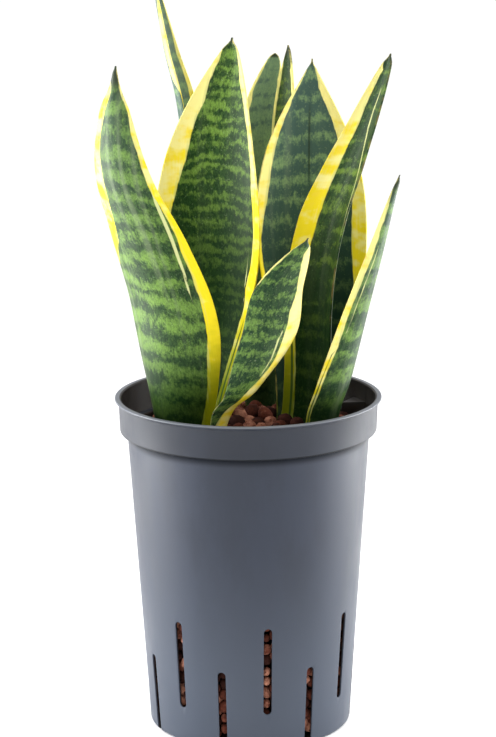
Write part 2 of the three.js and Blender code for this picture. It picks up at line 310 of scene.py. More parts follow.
def object_place(tree):
    return wire_from(tree, "ShaderNodeTexCoord", output="Object")


def bump(height, strength, distance):
    inputs = {"Strength": strength, "Distance": distance, "Height": height}
    return wire_from(height.tree, "ShaderNodeBump", inputs)


# %% A new material
def new_material(name, **constants):
    """A material with its constant values set on the shader's own sockets."""
    material = bpy.data.materials.new(name)
    material.use_nodes = True
    shader = material.node_tree.nodes["Principled BSDF"]
    for socket, value in constants.items():
        shader.inputs[socket.replace("_", " ")].default_value = value
    return material, material.node_tree, shader


# %% [markdown]
# ## The pot
# The real pot is injection moulded: one thin tapered wall, a wider collar with a flat lip, and slots near
# the foot that let water in to the pebbles. It could be a cylinder with modifiers, but its profile is a
# handful of straight lines and small arcs, so turning that profile about the axis gives the true wall,
# inside and out, at once.

# %% Pot sizes
POT_HEIGHT = 190 * MM
LIP_RADIUS = 75 * MM
LIP_HEIGHT = 1.6 * MM
LIP_ROUND = 0.6 * MM
COLLAR_RADIUS = 72.9 * MM
COLLAR_FOOT_RADIUS = 72.3 * MM
COLLAR_HEIGHT = 19.4 * MM
COLLAR_ROUND = 1.3 * MM
BODY_TOP_RADIUS = 68.2 * MM
BODY_FOOT_RADIUS = 57.2 * MM
FOOT_ROUND = 2.4 * MM
WALL = 1.4 * MM
POT_FLOOR = 1.8 * MM
COLLAR_FOOT = POT_HEIGHT - COLLAR_HEIGHT
POT_SIDES = 240
WALL_ROWS = 26
FLAT_RINGS = (0.35, 0.7)                      # rings on the flat of the floor, as shares of its radius

# %% Lines and arcs of the profile
def body_radius(z):
    return BODY_FOOT_RADIUS + (BODY_TOP_RADIUS - BODY_FOOT_RADIUS) * z / COLLAR_FOOT


def arc(centre, radius, start, end, steps=5):
    """Points on an arc in the profile, from one angle to another, in degrees."""
    angles = [math.radians(start + (end - start) * i / steps) for i in range(steps + 1)]
    return [(centre[0] + radius * math.cos(a), centre[1] + radius * math.sin(a)) for a in angles]


def straight(start, end, steps):
    """Points between two ends, without the ends."""
    shares = [i / steps for i in range(1, steps)]
    return [(start[0] + (end[0] - start[0]) * s, start[1] + (end[1] - start[1]) * s) for s in shares]


# %% Pot profile
def pot_profile():
    """The wall's outline from the middle of the underside, round the lip, to the middle of the floor."""
    foot_edge = body_radius(0)
    ledge = COLLAR_FOOT + WALL
    inner_foot = (body_radius(POT_FLOOR) - WALL, POT_FLOOR)
    inner_top = (BODY_TOP_RADIUS - WALL, ledge)
    points = [(share * foot_edge, 0) for share in FLAT_RINGS]
    points += arc((foot_edge - FOOT_ROUND, FOOT_ROUND), FOOT_ROUND, -90, -4)
    points += straight(points[-1], (BODY_TOP_RADIUS, COLLAR_FOOT), WALL_ROWS)
    points += [(BODY_TOP_RADIUS, COLLAR_FOOT)]
    points += arc((COLLAR_FOOT_RADIUS - COLLAR_ROUND, COLLAR_FOOT + COLLAR_ROUND), COLLAR_ROUND, -90, 0)
    points += [(COLLAR_RADIUS, POT_HEIGHT - LIP_HEIGHT - LIP_ROUND)]
    points += [(LIP_RADIUS - LIP_ROUND, POT_HEIGHT - LIP_HEIGHT)]
    points += arc((LIP_RADIUS - LIP_ROUND, POT_HEIGHT - LIP_ROUND), LIP_ROUND, -20, 90)
    points += [(COLLAR_RADIUS - WALL + LIP_ROUND, POT_HEIGHT)]
    points += [(COLLAR_RADIUS - WALL, POT_HEIGHT - LIP_ROUND)]
    points += [(COLLAR_FOOT_RADIUS - WALL, ledge), inner_top]
    points += straight(inner_top, inner_foot, WALL_ROWS)
    points += [inner_foot] + [(share * inner_foot[0], POT_FLOOR) for share in reversed(FLAT_RINGS)]
    return points


# %% Turning the profile
def turned(name, profile, bottom, top, sides):
    """A closed body turned about the Z axis, with a fan round each pole."""
    rings = [
        [(r * math.sin(turn), -r * math.cos(turn), z) for turn in np.arange(sides) * 2 * math.pi / sides]
        for r, z in profile
    ]
    points = [point for ring in rings for point in ring]
    faces = []
    for k in range(len(rings) - 1):
        for i in range(sides):
            j = (i + 1) % sides
            faces.append((k * sides + i, k * sides + j, (k + 1) * sides + j, (k + 1) * sides + i))
    last = (len(rings) - 1) * sides
    points += [(0, 0, bottom), (0, 0, top)]
    for i in range(sides):
        j = (i + 1) % sides
        faces.append((j, i, len(points) - 2))
        faces.append((last + i, last + j, len(points) - 1))
    return new_piece(name, points, faces=faces)


pot = turned("pot_shell", pot_profile(), 0, POT_FLOOR, POT_SIDES)
print("pot wall encloses", round(volume_of(pot) * 1e6), "ml of plastic")

# %% [markdown]
# ## Slots
# Fourteen slots repeat round the pot, high and low in turn. Each could be cut by hand, but a repeat that
# follows a circle is a job for Geometry Nodes: one rounded bar is placed on a row of points, turned to face
# outwards, and all the bars are cut from the wall in one step.

# %% Slot sizes
SLOT_COUNT = 14
SLOT_FIRST = math.radians(-237.6)             # counterclockwise from the front, seen from above
SLOT_PITCH = math.radians(24.7)
SLOT_WIDTH = 4.7 * MM
SLOT_HIGH = (21 * MM, 72 * MM)                # bottom and top
SLOT_LOW = (-4.7 * MM, 46 * MM)
SLOT_REACH = 7 * MM                           # how far a low slot runs in under the floor
SLOT_DEPTH = 30 * MM
SLOT_CORNER_STEPS = 6
SLOT_ROUND = 0.499                            # share of the width: just short of a half circle at each end

# %% Slot tree
def slot_tree():
    tree, given = geometry_tree("slots", {
        "Count": "Int", "First Angle": "Float", "Pitch": "Float", "Width": "Float", "Bottom": "Float",
        "Top": "Float", "Inner Radius": "Float", "Depth": "Float", "Material": "Material"})
    outline = wire_from(tree, "GeometryNodeCurvePrimitiveQuadrilateral", {
        "Width": given["Width"], "Height": given["Top"] - given["Bottom"]})
    rounded = wire_from(tree, "GeometryNodeFilletCurve", {
        "Curve": outline, "Count": SLOT_CORNER_STEPS, "Radius": given["Width"] * SLOT_ROUND,
        "Limit Radius": True}, mode="POLY")
    face = wire_from(tree, "GeometryNodeFillCurve", {"Curve": rounded}, mode="NGONS")
    bar = wire_from(tree, "GeometryNodeExtrudeMesh", {
        "Mesh": face, "Offset Scale": given["Depth"], "Individual": False})
    flipped = wire_from(tree, "GeometryNodeFlipFaces", {"Mesh": face})
    both = add(tree, "GeometryNodeJoinGeometry")
    plug(flipped, both.inputs[0])
    plug(bar, both.inputs[0])
    welded = wire_from(tree, "GeometryNodeMergeByDistance", {"Geometry": Wire(tree, both.outputs[0])})
    standing = wire_from(tree, "GeometryNodeTransform", {
        "Geometry": welded, "Rotation": (math.pi / 2, 0, 0),
        "Translation": vector(0, given["Inner Radius"] * -1, (given["Top"] + given["Bottom"]) * 0.5)})
    row = wire_from(tree, "GeometryNodePoints", {"Count": given["Count"]})
    index = wire_from(tree, "GeometryNodeInputIndex")
    placed = wire_from(tree, "GeometryNodeInstanceOnPoints", {
        "Points": row, "Instance": standing,
        "Rotation": vector(0, 0, given["First Angle"] + given["Pitch"] * index)})
    finish_tree(placed, given["Material"])
    return tree


# %% Slot cutters
def slot_cutters(name, tree, first, span):
    return run_tree(new_piece(name, []), tree, {
        "Count": SLOT_COUNT // 2, "First Angle": first, "Pitch": 2 * SLOT_PITCH, "Width": SLOT_WIDTH,
        "Bottom": span[0], "Top": span[1], "Inner Radius": BODY_FOOT_RADIUS - SLOT_REACH,
        "Depth": SLOT_DEPTH})


slots = slot_tree()
high_cutters = outwards(slot_cutters("high_cutters", slots, SLOT_FIRST, SLOT_HIGH))
low_cutters = outwards(slot_cutters("low_cutters", slots, SLOT_FIRST + SLOT_PITCH, SLOT_LOW))
print("one cutter:", round(volume_of(high_cutters) / (SLOT_COUNT // 2) * 1e9), "mm3")

# %% [markdown]
# ## Cutting the slots and adding the shelf
# A small three-cornered shelf is moulded inside the collar. It is joined to the wall, and the bars are
# taken away from it, with Boolean modifiers that are applied straight away. A fine bevel then rounds the
# cut edges, because a sharp edge catches no light.

# %% Shelf and edge sizes
SHELF_CORNERS = ((53.5 * MM, 23.5 * MM), (71.5 * MM, 24.5 * MM), (62 * MM, 39 * MM))
SHELF_SPAN = (171 * MM, 179.6 * MM)
SHELF_REACH = COLLAR_FOOT_RADIUS - WALL / 2   # it ends inside the wall
EDGE_ROUND = 0.25 * MM
BEVELLED = math.radians(50)                   # edges sharper than this are rounded
SHARP = math.radians(38)                      # and those sharper than this stay a crease in the shading

# %% A prism, a Boolean and a smooth skin
def prism(name, corners, bottom, top):
    count = len(corners)
    points = [(x, y, z) for z in (bottom, top) for x, y in corners]
    sides = [(i, (i + 1) % count, (i + 1) % count + count, i + count) for i in range(count)]
    caps = [tuple(reversed(range(count))), tuple(range(count, 2 * count))]
    return outwards(new_piece(name, points, faces=sides + caps))


def combine(piece, other, operation):
    modifier = piece.modifiers.new(operation.lower(), "BOOLEAN")
    modifier.operation = operation
    modifier.object = other
    modifier.solver = "EXACT"
    keep_result(piece)
    bpy.data.objects.remove(other)
    return piece


def smooth_by_angle(piece, limit):
    """Smooth faces, with a sharp crease wherever two faces meet at more than the limit."""
    piece.data.shade_smooth()
    piece.data.set_sharp_from_angle(angle=limit)
    return piece


# %% Cut, join and bevel
shelf = prism("shelf", SHELF_CORNERS, *SHELF_SPAN)
half_reach = SHELF_REACH / 2
inner_round = [(half_reach, 0), (SHELF_REACH, 0), (SHELF_REACH, POT_HEIGHT), (half_reach, POT_HEIGHT)]
combine(shelf, turned("inner_round", inner_round, 0, POT_HEIGHT, POT_SIDES), "INTERSECT")
combine(pot, shelf, "UNION")
combine(pot, high_cutters, "DIFFERENCE")
combine(pot, low_cutters, "DIFFERENCE")
edges = pot.modifiers.new("edges", "BEVEL")
edges.width = EDGE_ROUND
edges.segments = 2
edges.limit_method = "ANGLE"
edges.angle_limit = BEVELLED
edges.use_clamp_overlap = True
smooth_by_angle(keep_result(pot), SHARP)
print("pot faces:", len(pot.data.polygons))

# %% [markdown]
# ## Pot plastic
# Recycled grey polypropylene is never one flat tone. It is a satin blue-grey with faint cloudy flow marks
# and a finely sparked mould texture. Light and shade are painted on it too: paler towards the foot, where
# the floor lights it, a painted shadow under the collar, painted shade on the collar and a painted
# highlight on the lip. The inside sees hardly any light, so painted shade makes it darker there.

# %% Pot plastic colours
PLASTIC = colour(35, 42, 56)
PLASTIC_PALE = colour(42, 49, 64)
PLASTIC_FLOOR_LIT = colour(63, 71, 85)
PLASTIC_SHADE = colour(9, 13, 20)
PLASTIC_LIP_HIGHLIGHT = colour(104, 108, 116)
PLASTIC_INSIDE_SHADE = colour(34, 29, 27)
LIP_INNER = 72.4 * MM                         # the light upper face of the lip ends here
FLOOR_LIT_FULL_BELOW, FLOOR_LIT_GONE_ABOVE = 20 * MM, 130 * MM

# %% Pot plastic material
def pot_plastic():
    material, tree, shader = new_material("pot_plastic")
    place = object_place(tree)
    x, y, z = parts(place)
    cloud = noise(vector(x, y, z * 0.35), 38, 4, 0.6)
    speck = noise(place, 900, 2, 0.6)
    tone = ease(cloud + speck * 0.12, 0.42, 0.72)
    outer = blend(tone, PLASTIC, PLASTIC_PALE)
    # painted light: the plastic is painted paler towards the foot, where the floor's light falls
    outer = blend(ease(z, FLOOR_LIT_FULL_BELOW, FLOOR_LIT_GONE_ABOVE, 0.9, 0.0), outer, PLASTIC_FLOOR_LIT)
    # painted shadow under the collar's overhang, and painted shade over the collar itself
    collar_shadow = ease(z, COLLAR_FOOT - 6 * MM, COLLAR_FOOT - 1 * MM)
    collar_shadow = collar_shadow * fade(z, COLLAR_FOOT + 0.2 * MM, COLLAR_FOOT + 1.2 * MM)
    collar_shade = ease(z, COLLAR_FOOT, COLLAR_FOOT + 0.5 * MM)
    outer = blend(collar_shadow * 0.85 + collar_shade * 0.42, outer, PLASTIC_SHADE)
    # painted highlight along the top of the lip
    lip = ease(z, POT_HEIGHT - 0.8 * MM, POT_HEIGHT - 0.4 * MM)
    outer = blend(lip, outer, PLASTIC_LIP_HIGHLIGHT)
    radius = (x * x + y * y).math("SQRT")
    wall = larger(z / COLLAR_FOOT, 0) * (BODY_TOP_RADIUS - BODY_FOOT_RADIUS) + BODY_FOOT_RADIUS
    collar = ease(z, COLLAR_FOOT + WALL, COLLAR_FOOT + 1.2 * WALL)
    face = wall + collar * (COLLAR_FOOT_RADIUS - BODY_TOP_RADIUS) - WALL * 0.6
    face = smaller(face, LIP_INNER)
    inside = fade(radius - face, -0.1 * MM, 0.1 * MM)
    above_floor = ease(z, 0.2 * MM, 0.9 * MM)
    # painted shade: the inside of the wall is painted darker, for the little light that reaches it
    shade = blend(inside * above_floor, outer, PLASTIC_INSIDE_SHADE)
    plug(shade, shader.inputs["Base Color"])
    plug(ease(cloud, 0.3, 0.7, 0.36, 0.5), shader.inputs["Roughness"])
    # less reflection where the shadow under the collar is painted
    plug(0.4 - collar_shadow * 0.3, shader.inputs["Specular IOR Level"])
    grain = noise(place, 1500, 3, 0.6)
    plug(bump(grain + cloud * 0.6, 0.25, 0.08 * MM), shader.inputs["Normal"])
    return material


pot.data.materials.clear()
pot.data.materials.append(pot_plastic())

# %% [markdown]
# ## Leaf sizes
# A leaf is a blade that follows a line. Each one below has its line's stations, in millimetres, the way its
# hollow face looks at each station, its width and where it is widest, how it narrows to its foot and its
# tip, how its cross-section cups, and how thick it is. Some end in a short dry spike: its length and how
# slim it gets. The stations were read off the picture through the camera and then given the depth that
# makes each leaf pass clear of its neighbours.

# %% Leaf sizes
FOOT = 150.3                                  # the leaves stand on the rhizome
LEAVES = {
    "leaf_front_left": dict(
        stations=[(-35.5, -15, FOOT), (-36, -24, 205), (-40.5, -29, 247), (-52.5, -34, 285),
                  (-65.5, -39, 320), (-69.5, -43, 352), (-69, -45, 381)],
        faces=[150, 148, 146, 144, 142, 142, 142],
        width=62, widest_at=0.38, foot_width=0.54, taper=1.96, point=0.88, cup=(52, 30), thick=(5.5, 1.6),
        spike=(24, 0.52)),
    "leaf_centre_left": dict(
        stations=[(-26, 4, FOOT), (-24.5, 4, 215), (-23, 5, 285), (-19, 6, 336), (-7.5, 7, 390)],
        faces=[-20, -22, -25, -22, -20],
        width=71, widest_at=0.53, foot_width=0.2, taper=1.57, point=0.87, cup=(50, 26), thick=(5.5, 1.6),
        spike=(6, 0.4)),
    "leaf_tall_back": dict(
        stations=[(-27, 23, FOOT), (-19, 30, 250), (-30, 39, 340), (-40.5, 44, 380), (-51, 47, 421)],
        faces=[40, 50, 60, 62, 62],
        width=23, widest_at=0.4, foot_width=0.6, taper=2.69, point=0.95, cup=(70, 75), thick=(4.5, 1.4)),
    "leaf_back_centre": dict(
        stations=[(9, 42, FOOT), (3.5, 49, 240), (7, 52, 330), (16.5, 53, 376)],
        faces=[10, 0, 0, 0],
        width=32, widest_at=0.4, foot_width=0.5, taper=2.77, point=0.6, cup=(50, 30), thick=(4.5, 1.4)),
    "leaf_back_slender": dict(
        stations=[(20, 33, FOOT), (22.5, 38, 240), (20.5, 39, 330), (23.5, 40, 382)],
        faces=[-60, -50, -50, -50],
        width=22.5, widest_at=0.62, foot_width=0.6, taper=3.34, point=1, cup=(60, 45), thick=(4.2, 1.4)),
    "leaf_centre_right": dict(
        stations=[(29.5, 10, FOOT), (37, 12, 220), (36, 13, 289), (35.5, 13, 340), (36.5, 12, 377.5)],
        faces=[5, 5, 5, 5, 5],
        width=66, widest_at=0.58, foot_width=0.5, taper=2.23, point=1.24, cup=(50, 26), thick=(5.5, 1.6),
        spike=(6, 0.4)),
    "leaf_right_leaning": dict(
        stations=[(27, -7, FOOT), (32, -10, 190), (33.5, -13, 250), (40, -17, 290), (52.5, -21, 323),
                  (62.5, -24, 347), (77.5, -27, 384.5)],
        faces=[-35, -38, -40, -42, -42, -45, -45],
        width=36.5, widest_at=0.59, foot_width=0.92, taper=1.05, point=0.62, cup=(45, 45), thick=(5.5, 1.6),
        spike=(6, 0.4)),
    "leaf_right_small": dict(
        stations=[(36, -18, FOOT), (39.5, -24, 184), (45.5, -27, 204), (57.5, -30, 243), (68.5, -31, 277),
                  (77.5, -32, 306), (82.5, -32, 319.5)],
        faces=[-120, -125, -125, -125, -125, -125, -125],
        width=33, widest_at=0.34, foot_width=0.85, taper=1.05, point=0.83, cup=(50, 40), thick=(4.5, 1.4)),
    "leaf_front_small": dict(
        stations=[(-24.5, -32, FOOT), (-16.5, -38, 188), (-4, -41, 203), (11, -46, 234), (17, -49, 262),
                  (32.5, -53, 289)],
        faces=[-100, -115, -130, -160, -165, -165],
        width=33.5, widest_at=0.53, foot_width=0.25, taper=3, point=0.97, cup=(50, 25), thick=(4, 1.4),
        spike=(6, 0.4)),
}
LEAF_EDGE = 0.9 * MM
LEAF_WAVE = 1.2 * MM
LEAF_STEPS = 150                              # cross-sections along a leaf
LEAF_AROUND = 96                              # points round each
print(len(LEAVES), "leaves")

# %% [markdown]
# ## Marks on the leaves
# No two leaves are marked alike. A leaf's yellow margin is wide here and gone there, and some have a thin
# pale stripe beside it. The marks of each leaf are listed by their share of the way from foot to tip, so
# the shader can draw their outlines exactly where the real ones run. The rest is a few numbers a leaf: how
# pale, how blue and how streaked the green is, how its bands are spaced and broken up, and what becomes of
# it at the tip and the foot.

# %% Marks
# margins: (share of the length, width in mm)
# stripes: (share of the length, mm from the edge, half width in mm, below zero for a dark stripe)
# look: share of pale green, blue (or, below zero, warm) tint, lengthwise streaks
# pattern: mm between bands, mm of jaggedness, how broken up they are
# ends: mm of dark tip, share of the length with an olive margin (painted shade darkens its lower part),
# share of the length in the others' painted shade
# finish: how cream the margin is, how strong the painted shade along the midrib crease is, share below which
# the outer face has no margin
# bloom_and_sheen: how grey the wax and a painted sheen make the upper half
NO_MARGIN = -1.5                              # far enough below zero to clear the ragged outline
MARKS = {
    "leaf_front_left": dict(
        left=[(.1, 6.2), (.22, 6), (.3, 7.6), (.4, 6.9), (.5, 5.8), (.57, 5.2), (.6, 4.1), (.66, 3.4),
              (.7, 3.8), (.73, 3.8), (.77, 3), (.81, 2.4), (.85, 2.8), (.89, 1.4), (.935, 1), (.96, 0)],
        right=[(.5, .5), (.52, 5), (.55, 9.2), (.58, 13.6), (.62, 14.6), (.67, 14.9), (.72, 14),
               (.765, 11.8), (.805, 9.2), (.85, 7.8), (.89, 7.6), (.91, 7), (.93, 5.4), (.95, 3.4),
               (.965, 1), (.975, 0)],
        left_stripe=[(.41, 11, 0), (.42, 11, .3), (.46, 10.8, .5), (.51, 9.2, .8), (.56, 8, .9),
                     (.62, 6.4, 1), (.69, 4.2, 1), (.71, 3.8, 0)],
        right_stripe=[(.56, 16.6, 0), (.584, 17.8, -.4), (.65, 21.5, -.5), (.7, 23.8, -.4), (.71, 24.4, 0),
                      (.72, 17, 0), (.76, 15.2, -.4), (.86, 11.2, -.4), (.9, 9.8, 0)],
        look=(.48, 0, .8), pattern=(12.5, 5.5, 1.1), ends=(15, .44, .36), finish=(-.16, 0, 0), bloom_and_sheen=.06),
    "leaf_centre_left": dict(
        left=[(.5, 8), (.59, 9.3), (.64, 10.6), (.71, 11.9), (.76, 10.6), (.8, 9), (.85, 8.3), (.875, 6.5),
              (.9, 4.7), (.95, 2.4), (.975, 0)],
        right=[(.1, 5.6), (.27, 5.8), (.34, 6.2), (.37, 5.6), (.42, 8.6), (.46, 7.6), (.51, 6.8),
               (.65, 5.6), (.7, 3.6), (.78, 2.8), (.9, 3.3), (.95, 1.4), (.98, 0)],
        right_stripe=[(.1, 2.8, -.9), (.3, 2.8, -.8), (.36, 2.8, 0), (.37, 7, 0), (.39, 7.4, .3),
                      (.43, 9.8, .35), (.51, 10, .35), (.53, 10, 0)],
        look=(.43, -.06, .2), pattern=(7.4, 4.6, 1.4), ends=(4, .48, .8), finish=(-.04, 0, 0), bloom_and_sheen=0),
    "leaf_tall_back": dict(
        left=[(.1, 3), (.8, 3), (.9, 2.2), (.96, 0)],
        right=[(.1, 2.2), (.75, 2.6), (.84, 1.6), (.95, 0)],
        look=(.42, .6, .7), pattern=(9, 3, 1.0), ends=(6, .3, .4), finish=(-.1, 0, .745), bloom_and_sheen=.2),
    "leaf_back_centre": dict(
        left=[(.2, NO_MARGIN), (.35, 5), (.8, 5), (.88, 3.3), (.9, 1.9), (.96, 1), (.985, 0)],
        right=[(.2, NO_MARGIN), (.35, 3), (.93, 2.4), (.98, 0)],
        look=(.68, .65, .4), pattern=(8.5, 3, 1.1), ends=(3, .3, .5), finish=(.2, 0, 0), bloom_and_sheen=.2),
    "leaf_back_slender": dict(
        left=[(.1, 2), (.81, 1.3), (.9, 1.5), (.95, .8), (.965, 0)],
        right=[(.1, 4), (.89, 4.6), (.94, 3.2), (.955, 0)],
        look=(.3, -.5, .4), pattern=(7, 3, 1.4), ends=(8, .3, .45), finish=(.1, 0, 0), bloom_and_sheen=0),
    "leaf_centre_right": dict(
        left=[(.25, 0), (.35, 2.4), (.56, 2.9), (.6, 4.9), (.65, 6.9), (.7, 7.1), (.77, 5.7), (.85, 3.6),
              (.88, 3), (.9, 1.8), (.95, .6), (.97, 0)],
        right=[(.2, 2), (.4, 5), (.47, 7.4), (.52, 9), (.6, 9.1), (.65, 7.8), (.8, 7.6), (.85, 6),
               (.9, 5.3), (.925, 4.4), (.95, 2.3), (.975, .6), (.985, 0)],
        look=(.34, .85, .4), pattern=(12, 6, 1.25), ends=(4, .4, .72), finish=(-.02, .9, 0), bloom_and_sheen=.05),
    "leaf_right_leaning": dict(
        left=[(.1, 6.5), (.3, 6), (.45, 9.5), (.56, 11.2), (.61, 11.2), (.66, 9.6), (.74, 7.9), (.81, 6.7),
              (.86, 5.1), (.89, 4), (.96, 2.9), (.98, 0)],
        left_stripe=[(.1, 4.4, -.7), (.28, 4.2, -.7), (.34, 3.6, 0)],
        right_stripe=[(.52, 1, 0), (.62, 1.4, .5), (.68, 2.9, .55), (.73, 5.2, .6), (.78, 7.2, .6),
                      (.82, 8.4, .6), (.86, 7.9, .45), (.91, 5.6, .3), (.93, 5, 0)],
        look=(.33, -.25, .35), pattern=(10.5, 4.5, 1.2), ends=(5, .42, .66), finish=(-.08, 0, 0), bloom_and_sheen=.03),
    "leaf_right_small": dict(
        right=[(.15, 1.6), (.25, 1.9), (.33, 2.7), (.44, 3.6), (.6, 2.8), (.73, 3.2), (.8, 2.6), (.86, 1.8),
               (.9, 1.2), (.95, 0)],
        right_stripe=[(.12, .9, -.35), (.3, 1.1, -.4), (.42, 2, -.25), (.45, 4, 0), (.5, 5.4, .3),
                      (.72, 5, .3), (.8, 4.2, 0)],
        look=(.45, .1, .9), pattern=(14, 5, 1.0), ends=(12, .4, .42), finish=(.1, 0, 0), bloom_and_sheen=.1),
    "leaf_front_small": dict(
        left=[(.15, 14), (.29, 17), (.37, 18.5), (.4, 17.4), (.44, 14.8), (.48, 12.4), (.52, 11.2),
              (.58, 10.8), (.62, 10.6), (.66, 9.6), (.71, 8.5), (.745, 6.3), (.78, 4.9), (.9, 4.9),
              (.935, 4), (.97, 0)],
        left_stripe=[(.44, 17.2, 0), (.46, 15.6, .45), (.52, 13.7, .55), (.6, 13.4, .55), (.65, 11.4, .3),
                     (.66, 11.2, 0)],
        right=[(.1, NO_MARGIN), (.76, NO_MARGIN), (.82, .9), (.9, 1.2), (.97, 0)],
        look=(.42, .15, .25), pattern=(9, 7, 1.8), ends=(3, .1, .1), finish=(.1, 0, 0), bloom_and_sheen=0),
}

# %% [markdown]
# ## A leaf's line
# The stations are joined by a smooth curve that passes through each one. The curve is sampled evenly by
# length, so that the cross-sections are evenly spaced. Each sample keeps the direction its hollow face
# looks in and, for each edge, the margin's width and where the stripe beside it runs.

# %% Sampling a smooth line
FINE_STEPS = 60                               # trial points between two stations


def smooth_through(values):
    """Points on the Catmull-Rom curve through the given ones, close together."""
    known = np.array(values, dtype=float)
    known = np.vstack([2 * known[0] - known[1], known, 2 * known[-1] - known[-2]])
    shares = np.arange(FINE_STEPS)[:, None] / FINE_STEPS
    pieces = []
    for p0, p1, p2, p3 in zip(known, known[1:], known[2:], known[3:]):
        bend = 2 * p0 - 5 * p1 + 4 * p2 - p3
        twist = 3 * (p1 - p2) + p3 - p0
        pieces.append(p1 + 0.5 * ((p2 - p0) * shares + bend * shares ** 2 + twist * shares ** 3))
    return np.vstack(pieces + [known[-2][None]])


def marks_at(shares, marks, side):
    """The margin's width, the stripe's middle and its half width, in mm, at each share of the length."""
    margin = np.array(marks.get(side, [(0, NO_MARGIN)]), dtype=float)
    stripe = np.array(marks.get(side + "_stripe", [(0, 0, 0)]), dtype=float)
    columns = [margin[:, 1], stripe[:, 1], stripe[:, 2]]
    places = [margin[:, 0], stripe[:, 0], stripe[:, 0]]
    return np.stack([np.interp(shares, place, column) for place, column in zip(places, columns)], axis=1)


# %% A leaf's line as an object
def write_on_points(piece, name, values):
    """Writes a number, or a vector, on each of a piece's points, for a tree to read."""
    values = np.asarray(values, dtype=np.float32)
    kind, field = ("FLOAT", "value") if values.ndim == 1 else ("FLOAT_VECTOR", "vector")
    piece.data.attributes.new(name, kind, "POINT").data.foreach_set(field, values.ravel())


def leaf_line(name, leaf, marks):
    """The leaf's middle line as an object: evenly spaced points with the values the leaf tree reads."""
    line = smooth_through(leaf["stations"]) * MM
    facing = smooth_through([[math.radians(angle)] for angle in leaf["faces"]])[:, 0]
    lengths = np.concatenate([[0], np.cumsum(np.linalg.norm(np.diff(line, axis=0), axis=1))])
    even = np.linspace(0, lengths[-1], LEAF_STEPS + 1)
    points = np.stack([np.interp(even, lengths, line[:, axis]) for axis in range(3)], axis=1)
    piece = new_piece(name, points.tolist(), edges=[(i, i + 1) for i in range(LEAF_STEPS)])
    write_on_points(piece, "facing", np.interp(even, lengths, facing))
    for side in ("left", "right"):
        write_on_points(piece, side, marks_at(even / lengths[-1], marks, side))
    return piece, float(lengths[-1])


# %% [markdown]
# ## A leaf's blade
# A snake plant's leaf is thick and stiff, hollow on its inner face, rounded on its outer one, and thins to
# a blunt edge. All nine obey the same rule and differ only in their sizes, so one Geometry Nodes tree makes
# them all. It sweeps a ring along the line and then moves every point of the ring onto the blade's
# cross-section: across runs from -1 at one margin to 1 at the other, first over the inner face and then
# back over the outer one. It also stores, on each point, how far inside the yellow margin and the stripe
# the point lies, so that the colours follow the shape.

# %% Values kept on the points
def capture(geometry, **fields):
    """Keeps fields on a geometry's points, so that they can be read once the points have moved on."""
    tree = geometry.tree
    node = add(tree, "GeometryNodeCaptureAttribute")
    for name, field in fields.items():
        node.capture_items.new("VECTOR" if field.socket.type == "VECTOR" else "FLOAT", name)
    plug(geometry, node.inputs[0])
    for name, field in fields.items():
        plug(field, node.inputs[name])
    return [Wire(tree, node.outputs[0])] + [Wire(tree, node.outputs[name]) for name in fields]


def store(geometry, name, value, domain="POINT"):
    inputs = {"Geometry": geometry, "Name": name, "Value": value}
    return wire_from(geometry.tree, "GeometryNodeStoreNamedAttribute", inputs,
                     data_type="FLOAT_VECTOR", domain=domain)


def stored(tree, name, kind="FLOAT"):
    return wire_from(tree, "GeometryNodeInputNamedAttribute", {"Name": name}, "Attribute", data_type=kind)


# %% The tube and its width
def swept_ring(tree, given):
    """The line as a tube, with its share along, its share round and its middle on every point."""
    line = wire_from(tree, "GeometryNodeMeshToCurve", {"Mesh": given["Geometry"]})
    factor = wire_from(tree, "GeometryNodeSplineParameter", output="Factor")
    position = wire_from(tree, "GeometryNodeInputPosition")
    spine, along, centre = capture(line, along=factor, centre=position)
    circle = wire_from(tree, "GeometryNodeCurvePrimitiveCircle", {"Resolution": LEAF_AROUND, "Radius": MM})
    profile, around = capture(circle, around=factor)
    tube = wire_from(tree, "GeometryNodeCurveToMesh", {
        "Curve": spine, "Profile Curve": profile, "Fill Caps": True})
    return tube, along, around, centre


def half_width(given, along):
    """Half the blade's width: it widens from the foot and tapers to the tip, with perhaps a dry spike."""
    widest = given["Widest At"]
    rise = ease(along / widest, 0, 1, given["Foot Width"], 1.0)
    beyond = larger((along - widest) / (1 - widest), 0)
    fall = larger(1 - beyond ** given["Taper"], 0) ** given["Point"]
    from_tip = (1 - along) * given["Length"]
    slim = ease(from_tip / given["Spike"], 0.2, 1.0, given["Spike Width"], 1.0)
    return larger(given["Width"] * 0.5 * rise * fall * slim, 0.4 * LEAF_EDGE)


def between(pair, share):
    """From a vector's first number to its second, as share goes from 0 to 1."""
    first, second, _ = parts(pair)
    return first + (second - first) * share


# %% Thickness and waves
EDGE_TURN = 0.2                               # share of the ring that the rounded edge takes
WAVES, RIPPLES = 22, 30                       # a metre: about one in 45 mm and one in 33 mm
WAVY_WIDTH = 10 * MM                          # a blade whose half is narrower than this waves less


def depth_behind(given, along, across, side_of, half):
    """How far a point lies behind the hollow face: the whole thickness on the outer face."""
    middle = smaller(between(given["Thickness"], along), half * 1.4)
    edge = smaller(given["Edge"], half * 1.2)
    thickness = edge + larger(middle - edge, 0) * (1 - across * across)
    near_edge = 1 - smaller(side_of.math("ABSOLUTE") / EDGE_TURN, 1)
    bulge = larger(1 - near_edge * near_edge, 0).math("SQRT")
    return thickness * 0.5 * (1 - side_of.math("SIGN") * bulge)


